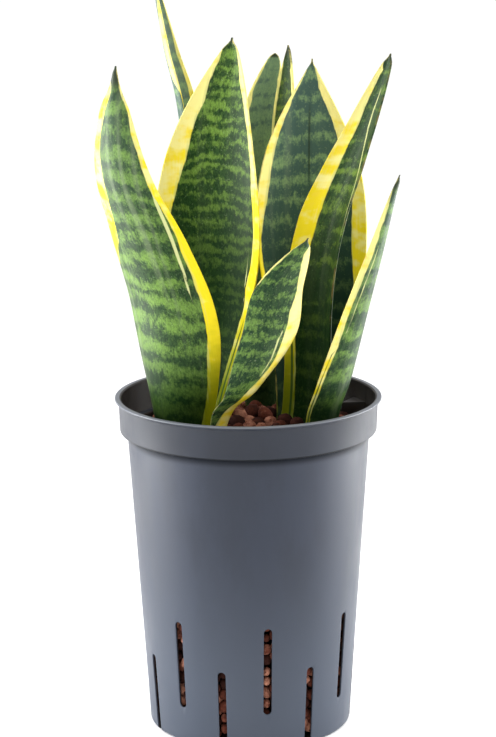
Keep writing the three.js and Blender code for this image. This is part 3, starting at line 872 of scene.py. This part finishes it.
def margin_waves(given, along, across, half):
    """How far the margins wave to and fro, and how far they ripple sideways."""
    margin = across.math("SIGN")
    by_margin = across.math("ABSOLUTE") ** 4
    where = vector(along * given["Length"] * WAVES, margin * 3, given["Seed"])
    wave = (noise(where, 1, 1) - 0.5) * given["Wave"] * by_margin * smaller(half / WAVY_WIDTH, 1)
    where = vector(along * given["Length"] * RIPPLES, margin * 5 + 9, given["Seed"])
    ripple = (noise(where, 1, 2) - 0.5) * given["Wave"] * by_margin * margin * 0.6
    return wave, ripple


# %% What the skin reads
MARGIN_FADE = 9                               # mm that a margin loses where it dies out


def inside_marks(tree, side, from_edge):
    """How far inside a side's margin and inside its stripe a point lies, in millimetres."""
    margin, middle, half_stripe = parts(stored(tree, side, "FLOAT_VECTOR"))
    dark = half_stripe.math("SIGN")
    stripe = half_stripe.math("ABSOLUTE") - (from_edge - middle).math("ABSOLUTE")
    return margin - from_edge, stripe, dark


def skin_values(tree, given, along, across, side_of, half):
    """The values that the skin's material reads on every point, with sizes in millimetres."""
    half_mm = half / MM
    length_mm = given["Length"] / MM
    left, left_stripe, left_dark = inside_marks(tree, "left", half_mm * (1 + across))
    right, right_stripe, right_dark = inside_marks(tree, "right", half_mm * (1 - across))
    outer_face = fade(side_of, -0.1, 0.1)
    on_left = fade(across, -0.1, 0.1)
    dark = right_dark + (left_dark - right_dark) * on_left
    unmarked_below = parts(given["Finish"])[2]
    fading = fade(along - unmarked_below, -0.05, 0.05) * outer_face
    inside_margin = larger(left, right) - fading * MARGIN_FADE
    return {
        "blade": vector(across * half_mm, along * length_mm, given["Seed"]),
        "share": vector(along, (1 - along) * length_mm, outer_face),
        "margin": vector(inside_margin, half_mm * (1 - across.math("ABSOLUTE")), 0),
        "stripe": vector(larger(left_stripe, right_stripe), dark, given["Bloom And Sheen"]),
        "look": given["Look"], "pattern": given["Pattern"],
        "ends": given["Ends"], "finish": given["Finish"],
    }


# %% Leaf tree
def leaf_tree():
    tree, given = geometry_tree("leaf", {
        "Length": "Float", "Width": "Float", "Widest At": "Float", "Foot Width": "Float", "Taper": "Float",
        "Point": "Float", "Spike": "Float", "Spike Width": "Float", "Cup": "Vector", "Thickness": "Vector",
        "Edge": "Float", "Wave": "Float", "Look": "Vector", "Pattern": "Vector", "Ends": "Vector",
        "Finish": "Vector", "Bloom And Sheen": "Float", "Seed": "Float", "Material": "Material"})
    tube, along, around, centre = swept_ring(tree, given)
    turn = around * (2 * math.pi)
    across = turn.math("COSINE") * -1
    side_of = turn.math("SINE")
    half = half_width(given, along)
    cup = between(given["Cup"], along)
    radius = half / cup
    bend = across * cup

    facing = stored(tree, "facing")
    side = vector(facing.math("COSINE"), facing.math("SINE"), 0)
    face = vector(facing.math("SINE"), facing.math("COSINE") * -1, 0)
    outward = total(scaled(side, bend.math("SINE")), scaled(face, bend.math("COSINE") * -1))
    wave, ripple = margin_waves(given, along, across, half)
    place = total(centre,
        scaled(side, radius * bend.math("SINE") + ripple),
        scaled(face, radius * (cup.math("COSINE") - bend.math("COSINE")) + wave),
        scaled(outward, depth_behind(given, along, across, side_of, half)))
    geometry = wire_from(tree, "GeometryNodeSetPosition", {"Geometry": tube, "Position": place})
    for name, value in skin_values(tree, given, along, across, side_of, half).items():
        geometry = store(geometry, name, value)
    finish_tree(wire_from(tree, "GeometryNodeSetShadeSmooth", {"Geometry": geometry}), given["Material"])
    return tree


# %% [markdown]
# ## Leaf skin
# The skin is a waxy, slightly rough surface. Its ground is dark green, crossed by paler bands with jagged
# edges, as if combed lengthwise, and the margins are yellow: cream near the tip, strong yellow in the
# middle and olive near the foot. Painted shade darkens the green and the margin near the foot, and runs
# along the midrib crease; the upper half is greyed by the wax and by a painted sheen. An image could carry
# all this, but noise stretched along and across the blade, read from the stored coordinates in
# millimetres, gives the same marks at their real size on leaves of any shape.

# %% Leaf colours
DARK_GREEN = colour(22, 46, 20)
DARK_MOTTLE = colour(48, 78, 36)
BAND_GREEN = colour(108, 142, 60)
BAND_WARM = colour(108, 132, 34)
BLUE_GROUND = colour(58, 84, 76)
BLUE_BAND = colour(124, 152, 108)
STREAK_PALE = colour(142, 156, 122)
WAX_GREY_AND_SHEEN = colour(150, 172, 166)
TIP_DARK = colour(56, 66, 50)
SPECK_PALE = colour(140, 162, 116)
SHADE_GREEN = colour(16, 36, 14)
YELLOW = colour(246, 222, 38)
CREAM = colour(249, 237, 150)
ORANGE_TINT = colour(246, 206, 116)
OLIVE = colour(150, 154, 22)
SHADE_OLIVE = colour(58, 86, 16)
TAN = colour(168, 138, 84)
PALE_LINE = colour(186, 194, 124)
STRIPE_PALE = colour(214, 217, 150)
CREASE_SHADE = colour(18, 34, 22)
BAND_SWAY = 16                                # mm that a band rises and falls across the blade
GROOVE_PITCH = 1.3                            # mm between the faint lengthwise grooves
SKIN_RELIEF = 0.12 * MM

# %% Banded green and yellow margin
def leaf_green(a, b, seed, look, pattern):
    """The banded green of the field; a runs across and b along the blade, in millimetres."""
    pale_share, bluish, _ = look
    pitch, jag, mottled = pattern
    comb = noise(vector(a * 0.75, b * 0.06, seed), 1, 2, 0.6) - 0.5
    sway = noise(vector(a * 0.05, b * 0.05, seed + 7), 1, 2, 0.5) - 0.5
    shifted = b + comb * jag + sway * BAND_SWAY
    beat = (shifted * (2 * math.pi) / pitch).math("SINE")
    mottle = noise(vector(a * 0.5, b * 0.36, seed + 3), 1, 4, 0.65) - 0.5
    patch = noise(vector(a * 0.07, shifted * 0.09, seed + 13), 1, 1, 0.5) - 0.5
    level = beat * 0.17 + mottle * mottled + patch * 0.8 + pale_share
    bands = ease(level, 0.28, 0.7)
    speckle = noise(vector(a * 1.3, b * 0.6, seed + 5), 1, 3, 0.7)
    blue = larger(bluish, 0)
    warm = larger(bluish * -1, 0)
    ground = blend(ease(speckle, 0.35, 0.7), DARK_GREEN, DARK_MOTTLE)
    ground = blend(blue, ground, BLUE_GROUND)
    band = blend(blue * 0.8, BAND_GREEN, BLUE_BAND)
    band = blend(warm * 2, band, BAND_WARM)
    green = blend(bands * ease(speckle, 0.3, 0.68, 0.45, 1.0), ground, band)
    dots = noise(vector(a * 1.1, b * 0.8, seed + 19), 1, 1, 0.5)
    return blend(ease(dots, 0.66, 0.75) * mottled * 0.25, green, SPECK_PALE), speckle


def leaf_yellow(a, b, seed, along, olive_share, cream, inside_margin):
    """The margin: cream and yellow in turn, olive near the foot, with a pale line along its inner side."""
    tone = noise(vector(a * 0.09, b * 0.15, seed + 23), 1, 2, 0.5)
    fine = noise(vector(a * 0.9, b * 0.06, seed + 29), 1, 2, 0.6)
    high = ease(along, 0.45, 0.92)
    creamy = ease(tone + high * 0.34 + cream - 0.09 + (fine - 0.5) * 0.25, 0.36, 0.68)
    margin = blend(creamy, YELLOW, CREAM)
    orange = ease((fine - 0.5) * 0.5 - tone + 1, 0.58, 0.8) * high
    margin = blend(orange * 0.45, margin, ORANGE_TINT)
    low = fade(along + (tone - 0.5) * 0.2, olive_share * 0.35, olive_share)
    margin = blend(low * 0.9, margin, OLIVE)
    brim = fade(inside_margin, 0.3, 2.2) * ease(fine, 0.4, 0.6)
    return blend(brim * 0.55, margin, PALE_LINE), fine


# %% Leaf skin material
def leaf_skin():
    material, tree, shader = new_material("leaf_skin")
    a, b, seed = parts(attribute(tree, "blade"))
    along, from_tip, outer = parts(attribute(tree, "share"))
    inside_margin, from_edge, _ = parts(attribute(tree, "margin"))
    inside_stripe, stripe_sign, bloom_and_sheen = parts(attribute(tree, "stripe"))
    look = parts(attribute(tree, "look"))
    tip_length, olive_share, shade_share = parts(attribute(tree, "ends"))
    cream, crease, _ = parts(attribute(tree, "finish"))
    streaky = look[2]

    green, speckle = leaf_green(a, b, seed, look, parts(attribute(tree, "pattern")))
    streak = noise(vector(a * 0.14, b * 0.006, seed + 17), 1, 2, 0.5)
    green = blend(ease(streak, 0.48, 0.68) * streaky * 0.4, green, STREAK_PALE)
    green = blend(fade(streak, 0.3, 0.45) * streaky * 0.45, green, DARK_GREEN)
    # painted shade along the midrib crease
    crease_shade = fade(a.math("ABSOLUTE"), 0.2, 0.9) * crease
    crease_shade = crease_shade * ease(along, 0.66, 0.74) * fade(along, 0.84, 0.9)
    green = blend(crease_shade * 0.85, green, CREASE_SHADE)
    # the wax's own grey, and a painted sheen, on the upper half
    green = blend(ease(along, 0.5, 0.9) * bloom_and_sheen, green, WAX_GREY_AND_SHEEN)
    shaded = fade(along / larger(shade_share, 0.01), 0.45, 1.05)
    green = blend(shaded * 0.8, green, SHADE_GREEN)
    green = blend(fade(from_tip / tip_length, 0.5, 1.1), green, TIP_DARK)

    margin, fine = leaf_yellow(a, b, seed, along, olive_share, cream, inside_margin)
    # painted shade: the margin darkens to a shaded olive near the foot
    deep = fade(along / larger(olive_share, 0.01), 0.35, 0.8)
    margin = blend(deep * 0.6, margin, SHADE_OLIVE)
    ragged = (fine - 0.5) * 1.1 + (noise(vector(a * 0.2, b * 0.16, seed), 1, 2) - 0.5) * 0.9
    skin = blend(ease(inside_margin + ragged, -0.3, 0.3), green, margin)
    stripe = ease(inside_stripe + ragged * 0.25, -0.15, 0.25) * stripe_sign.math("ABSOLUTE")
    paint = blend(ease(stripe_sign, -0.5, 0.5), DARK_MOTTLE, STRIPE_PALE)
    skin = blend(stripe * 0.9, skin, paint)
    hairline = fade(from_edge, 0.1, 0.5) * ease(fine, 0.45, 0.6)
    skin = blend(hairline * 0.3, skin, TAN)
    plug(skin, shader.inputs["Base Color"])
    plug(ease(speckle, 0.3, 0.7, 0.38, 0.5), shader.inputs["Roughness"])
    waxy = (outer * 0.06 + 0.1) * ease(inside_margin, -0.5, 0.5, 1.0, 0.4)
    plug(waxy * (1 - shaded * 0.85), shader.inputs["Specular IOR Level"])
    groove = (a * (2 * math.pi / GROOVE_PITCH) + streak * 4).math("SINE")
    relief = groove * 0.2 + fine * 0.7 + speckle * 0.3
    plug(bump(relief, 0.3, SKIN_RELIEF), shader.inputs["Normal"])
    return material


# %% [markdown]
# ## Growing the nine leaves
# Each leaf of the plant came up on its own from the buried stem. Here each gets its own line and its own
# numbers, runs through the one tree and comes out as a plain closed mesh. Nine copies of one leaf, bent by
# hand, would be quicker to make but would show their common outline, and a loop lets one change to the tree
# reach all nine.

# %% Grow the leaves
NO_SPIKE = (1, 1)                             # a spike of 1 mm, as wide as the leaf is there
leaf_nodes = leaf_tree()
skin = leaf_skin()
leaf_pieces = {}
for seed, (name, leaf) in enumerate(LEAVES.items()):
    marks = MARKS[name]
    blade, length = leaf_line(name + "_blade", leaf, marks)
    spike, spike_width = leaf.get("spike", NO_SPIKE)
    run_tree(blade, leaf_nodes, {
        "Length": length, "Width": leaf["width"] * MM, "Widest At": leaf["widest_at"],
        "Foot Width": leaf["foot_width"], "Taper": leaf["taper"], "Point": leaf["point"],
        "Spike": spike * MM, "Spike Width": spike_width,
        "Cup": [math.radians(angle) for angle in leaf["cup"]] + [0],
        "Thickness": [size * MM for size in leaf["thick"]] + [0],
        "Edge": LEAF_EDGE, "Wave": LEAF_WAVE,
        "Look": marks["look"], "Pattern": marks["pattern"], "Ends": marks["ends"],
        "Finish": marks["finish"], "Bloom And Sheen": marks["bloom_and_sheen"],
        "Seed": 10 * seed + 1.5, "Material": skin,
    })
    leaf_pieces[name] = outwards(blade)
    print(name, "is", round(length / MM), "mm long,", round(volume_of(blade) * 1e6, 1), "ml")


# %% [markdown]
# ## Clay pebbles
# Expanded clay is baked in a drum, so each pebble is a rough, rounded lump about a centimetre across. A few
# hundred of them could be dropped by a physics simulation, but only the ones on top and behind the slots
# are ever seen. Points are spread over the top and behind each slot, kept apart from each other and out of
# the leaves, and a tree sets a lump on each, with its own size and a random turn. A dark core fills what
# lies deeper.

# %% Pebble places
PEBBLE_SIZE = (3.6 * MM, 5.6 * MM)            # smallest and largest half-size
PEBBLE_APART = 7.8 * MM
PEBBLE_TOP = 175 * MM                         # in the middle; the filling sinks towards the wall
PEBBLE_SINK = 9 * MM
TOP_LAYERS = (0, 4.5 * MM, 9 * MM)            # how deep each layer lies
CLAY_RADIUS = COLLAR_FOOT_RADIUS - WALL - 0.3 * MM
CORE_RECESS = 8 * MM
SLOT_SIZE = (2.8 * MM, 4.4 * MM)
SLOT_COLUMNS = (-5 * MM, 0, 5 * MM)           # beside and behind a slot's middle
SLOT_STEP = 6.6 * MM
SLOT_BELOW, SLOT_ABOVE = 5 * MM, 6 * MM       # how far they run on: below a high slot, above any slot
LEAF_ROOM = 0.75                              # share of its half-size that a pebble keeps from a leaf
SQUASH = 0.82                                 # a lump's least half-size as a share of its largest
draw = random.Random(11)


def spread(radius, apart, tries=9000):
    """Random places in a circle, each at least so far from the others."""
    places = []
    for _ in range(tries):
        reach = radius * math.sqrt(draw.random())
        turn = 2 * math.pi * draw.random()
        x, y = reach * math.cos(turn), reach * math.sin(turn)
        if all(math.hypot(x - a, y - b) > apart for a, b in places):
            places.append((x, y))
    return places


# %% Pebbles at the top and behind the slots
def top_places():
    """Places and sizes of the pebbles that make the top of the filling."""
    pebbles = []
    for depth in TOP_LAYERS:
        height = PEBBLE_TOP - depth
        for x, y in spread(CLAY_RADIUS - PEBBLE_SIZE[1], PEBBLE_APART):
            out = math.hypot(x, y) / CLAY_RADIUS
            z = height - PEBBLE_SINK * out ** 3 + draw.uniform(-1.4, 1.4) * MM
            size = draw.uniform(*PEBBLE_SIZE)
            room = (body_radius(z) if z < COLLAR_FOOT + size else COLLAR_FOOT_RADIUS) - WALL - size
            fit = min(1, room / math.hypot(x, y))
            pebbles.append((x * fit, y * fit, z, size))
    return pebbles


def slot_places():
    """Places and sizes of the pebbles behind the slots: three staggered columns that touch the wall."""
    pebbles = []
    for index in range(SLOT_COUNT):
        if index % 2 == 0:
            bottom, top = SLOT_HIGH[0] - SLOT_BELOW, SLOT_HIGH[1]
        else:
            bottom, top = POT_FLOOR + PEBBLE_SIZE[1], SLOT_LOW[1]
        for column, aside in enumerate(SLOT_COLUMNS):
            z = bottom + column % 2 * SLOT_STEP / 2
            while z < top + SLOT_ABOVE:
                size = draw.uniform(*SLOT_SIZE)
                reach = body_radius(z) - WALL - 0.9 * size - draw.uniform(0, 1.6) * MM
                turn = SLOT_FIRST + index * SLOT_PITCH + aside / reach
                pebbles.append((reach * math.sin(turn), -reach * math.cos(turn), z, size))
                z += SLOT_STEP + draw.uniform(-0.8, 0.8) * MM
    return pebbles


# %% Pebbles that no leaf runs through
def clear_of_leaves(pebbles):
    """Leaves out the pebbles that a leaf would run through."""
    skins = []
    for blade in leaf_pieces.values():
        places = np.empty(len(blade.data.vertices) * 3)
        blade.data.vertices.foreach_get("co", places)
        skins.append(places.reshape(-1, 3))
    skins = np.vstack(skins)
    skins = skins[skins[:, 2] < PEBBLE_TOP + 2 * PEBBLE_SIZE[1]]
    kept = []
    for x, y, z, size in pebbles:
        nearest = np.linalg.norm(skins - (x, y, z), axis=1).min()
        if nearest > LEAF_ROOM * size:
            kept.append((x, y, z, size))
    return kept


pebble_list = clear_of_leaves(top_places()) + slot_places()
pebble_points = new_piece("pebbles", [pebble[:3] for pebble in pebble_list])
write_on_points(pebble_points, "size", [pebble[3] for pebble in pebble_list])
print(len(pebble_list), "pebbles")

# %% [markdown]
# ## One lump in many shapes
# No two pebbles are alike, yet nobody could tell a few hundred apart. So the tree takes one coarse sphere,
# sets it on every point with its own squash and turn, makes the copies real and then dents them with noise
# that reads each point's place, which gives every pebble its own form. Each also carries a random number
# for its colour.

# %% Pebble tree
def random_value(tree, low, high, seed):
    inputs = {2: low, 3: high, "Seed": seed}
    return wire_from(tree, "FunctionNodeRandomValue", inputs, output=1, data_type="FLOAT")


def pebble_tree():
    tree, given = geometry_tree("pebbles", {
        "Squash": "Float", "Roughness": "Float", "Seed": "Int", "Material": "Material"})
    lump = wire_from(tree, "GeometryNodeMeshIcoSphere", {"Radius": 1.0, "Subdivisions": 2})
    points = wire_from(tree, "GeometryNodeMeshToPoints", {"Mesh": given["Geometry"]})
    size = stored(tree, "size")
    squash = random_value(tree, given["Squash"], 1.0, given["Seed"] + 1)
    stretch = random_value(tree, given["Squash"], 1.0, given["Seed"] + 2)
    turns = vector(*(random_value(tree, 0.0, 2 * math.pi, given["Seed"] + 3 + i) for i in range(3)))
    placed = wire_from(tree, "GeometryNodeInstanceOnPoints", {
        "Points": points, "Instance": lump, "Rotation": turns,
        "Scale": vector(size, size * stretch, size * squash)})
    own = vector(*(random_value(tree, 0.0, 1.0, given["Seed"] + 7 + i) for i in range(2)), 0)
    tagged = store(placed, "pebble", own, domain="INSTANCE")
    real = wire_from(tree, "GeometryNodeRealizeInstances", {"Geometry": tagged})
    position = wire_from(tree, "GeometryNodeInputPosition")
    normal = wire_from(tree, "GeometryNodeInputNormal")
    dent = (noise(position, 190, 2, 0.5) - 0.62) * given["Roughness"]
    rough = wire_from(tree, "GeometryNodeSetPosition", {"Geometry": real, "Offset": scaled(normal, dent)})
    finish_tree(wire_from(tree, "GeometryNodeSetShadeSmooth", {"Geometry": rough}), given["Material"])
    return tree


# %% [markdown]
# ## Baked clay
# The crust of a pebble is dull, red-brown and full of pores. The pores could be modelled, but they are far
# smaller than a face, so noise paints shade into them and bumps the light there. The pebble's own number
# makes some pale with dust and some nearly black from the kiln. The core lies in shade, so its finish is
# only dark and grainy.

# %% Pebble colours
CLAY = colour(100, 52, 39)
CLAY_PALE = colour(182, 126, 104)
CLAY_DARK = colour(52, 26, 20)
CORE_DARK = colour(22, 12, 10)

# %% Pebble and core materials
def expanded_clay():
    material, tree, shader = new_material("expanded_clay", Roughness=0.92, Specular_IOR_Level=0.15)
    place = object_place(tree)
    own = parts(attribute(tree, "pebble"))[0]
    coarse = noise(place, 260, 4, 0.65)
    pores = noise(place, 1100, 3, 0.7)
    tone = coarse * 0.6 + own * 0.8 - 0.28
    clay = blend(ease(tone, 0.2, 0.55), CLAY_DARK, CLAY)
    clay = blend(ease(tone + pores * 0.2, 0.62, 0.92), clay, CLAY_PALE)
    # painted shade in the pores
    clay = blend(fade(pores, 0.3, 0.42), clay, CLAY_DARK)
    plug(clay, shader.inputs["Base Color"])
    plug(bump(coarse + pores * 0.7, 0.9, 0.7 * MM), shader.inputs["Normal"])
    return material


def core_material():
    material, tree, shader = new_material("clay_core", Roughness=0.95, Specular_IOR_Level=0.1)
    place = object_place(tree)
    grain = noise(place, 420, 4, 0.7)
    plug(blend(ease(grain, 0.5, 0.75), CORE_DARK, CLAY_DARK), shader.inputs["Base Color"])
    plug(bump(grain, 1.0, 1.5 * MM), shader.inputs["Normal"])
    return material


# %% [markdown]
# ## Filling the pot
# The pebbles fill the whole pot, but light reaches only the outermost. The rest is one turned core, which
# is narrower at the height of the slots, to leave room for the pebbles there, and ends below the top
# layers.

# %% Core sizes
CORE_FOOT = POT_FLOOR + 0.5 * MM
CORE_NARROW = 80 * MM                         # the core leaves room below this for the pebbles by the slots
CORE_WIDE = 95 * MM
CORE_SHOULDER = 155 * MM
CORE_TOP = 161 * MM
CORE_MIDDLE = 30 * MM                         # radius of the flat in the middle
CORE_GAP = 1 * MM                             # between the core and the wall
CORE_SIDES = 64

# %% Pebbles and core
pebbles = run_tree(pebble_points, pebble_tree(), {
    "Squash": SQUASH, "Roughness": 2.6 * MM, "Seed": 4, "Material": expanded_clay()})
outwards(pebbles)
core_profile = [
    (CORE_MIDDLE, CORE_FOOT),
    (body_radius(POT_FLOOR) - WALL - CORE_RECESS, CORE_FOOT),
    (body_radius(CORE_NARROW) - WALL - CORE_RECESS, CORE_NARROW),
    (body_radius(CORE_WIDE) - WALL - CORE_GAP, CORE_WIDE),
    (body_radius(CORE_SHOULDER) - WALL - CORE_GAP, CORE_SHOULDER),
    (CORE_MIDDLE, CORE_TOP),
]
core = turned("pebble_core", core_profile, CORE_FOOT, CORE_TOP, CORE_SIDES)
smooth_by_angle(outwards(core), SHARP)
core.data.materials.append(core_material())
print("pebble faces:", len(pebbles.data.polygons))

# %% [markdown]
# ## Rhizome
# The buried stem keeps its solid from the frame and only needs a finish: pale, fleshy and a little fibrous.

# %% Rhizome material
def rhizome_flesh():
    material, tree, shader = new_material("rhizome_flesh", Roughness=0.6, Specular_IOR_Level=0.4)
    place = object_place(tree)
    x, y, z = parts(place)
    fibre = noise(vector(x * 260, y * 260, z * 40), 1, 4, 0.6)
    plug(blend(fibre, colour(168, 140, 92), colour(228, 208, 160)), shader.inputs["Base Color"])
    plug(bump(fibre, 0.4, 0.4 * MM), shader.inputs["Normal"])
    return material


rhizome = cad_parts["rhizome"]
rhizome.data.materials.clear()
rhizome.data.materials.append(rhizome_flesh())

# %% [markdown]
# ## Studio
# A big white floor runs out of the picture on all sides, and the light is the plain one of a catalogue: a
# room that is brighter overhead than at the level of the eye, and a tall soft box on each side, a little
# behind the pot. They draw the bright edges on the pot while its middle stays dark.

# %% Studio sizes
FLOOR_SIZE = 30.0
FLOOR_WHITE = colour(253, 253, 253)
ROOM_LEVEL = 0.42                             # how bright the room is at eye level
ROOM_TOP = 1.38                               # and overhead
LEFT_PLACE = (-0.7, 0.04, 0.2)
RIGHT_PLACE = (0.7, 0.18, 0.2)
BOX_SIZE = (0.5, 0.6)
BOX_POWER = (11, 10.6)                        # left and right
BOX_TARGET = (0, 0, 0.2)
HIGH_PLACE = (0, -0.9, 1.5)
HIGH_SIZE = (1.2, 0.8)
HIGH_POWER = 3.8
HIGH_TARGET = (0, 0, 0.25)

# %% Making the floor, the room and a soft box
def make_floor():
    half = FLOOR_SIZE / 2
    corners = [(-half, -half, 0), (half, -half, 0), (half, half, 0), (-half, half, 0)]
    floor = new_piece("floor", corners, faces=[(0, 1, 2, 3)])
    material, _, shader = new_material("floor_white", Roughness=0.9, Specular_IOR_Level=0.0)
    shader.inputs["Base Color"].default_value = FLOOR_WHITE
    floor.data.materials.append(material)


def make_room():
    """A room whose light grows from the level of the eye to overhead."""
    world = bpy.data.worlds.new("white_room")
    bpy.context.scene.world = world
    world.use_nodes = True
    tree = world.node_tree
    way = wire_from(tree, "ShaderNodeTexCoord", output="Generated")
    height = parts(way)[2]
    strength = larger(height, 0) * (ROOM_TOP - ROOM_LEVEL) + ROOM_LEVEL
    background = tree.nodes["Background"]
    background.inputs["Color"].default_value = (1, 1, 1, 1)
    plug(strength, background.inputs["Strength"])


def area_light(name, place, target, size, power):
    data = bpy.data.lights.new(name, "AREA")
    data.shape = "RECTANGLE"
    data.size, data.size_y = size
    data.energy = power
    light = bpy.data.objects.new(name, data)
    light.location = place
    light.visible_camera = False
    light.rotation_euler = (Vector(target) - Vector(place)).to_track_quat("-Z", "Y").to_euler()
    bpy.context.scene.collection.objects.link(light)


# %% Floor and lights
make_floor()
make_room()
area_light("left_box", LEFT_PLACE, BOX_TARGET, BOX_SIZE, BOX_POWER[0])
area_light("right_box", RIGHT_PLACE, BOX_TARGET, BOX_SIZE, BOX_POWER[1])
area_light("high_box", HIGH_PLACE, HIGH_TARGET, HIGH_SIZE, HIGH_POWER)
bpy.context.scene.view_settings.view_transform = "Standard"

# %% [markdown]
# ## Handing the pieces to the frame
# Each piece rides on the one body and stands for its solid.

# %% Pieces, bodies and slots
PIECES = [(pot, "pot", "pot_plastic"), (pebbles, "clay_pebbles", "expanded_clay"),
          (core, "clay_pebbles", "expanded_clay")]
PIECES += [(blade, name, "leaf") for name, blade in leaf_pieces.items()]
for piece, node, slot in PIECES:
    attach(piece, "root")
    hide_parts(node)
print(len(PIECES), "pieces")
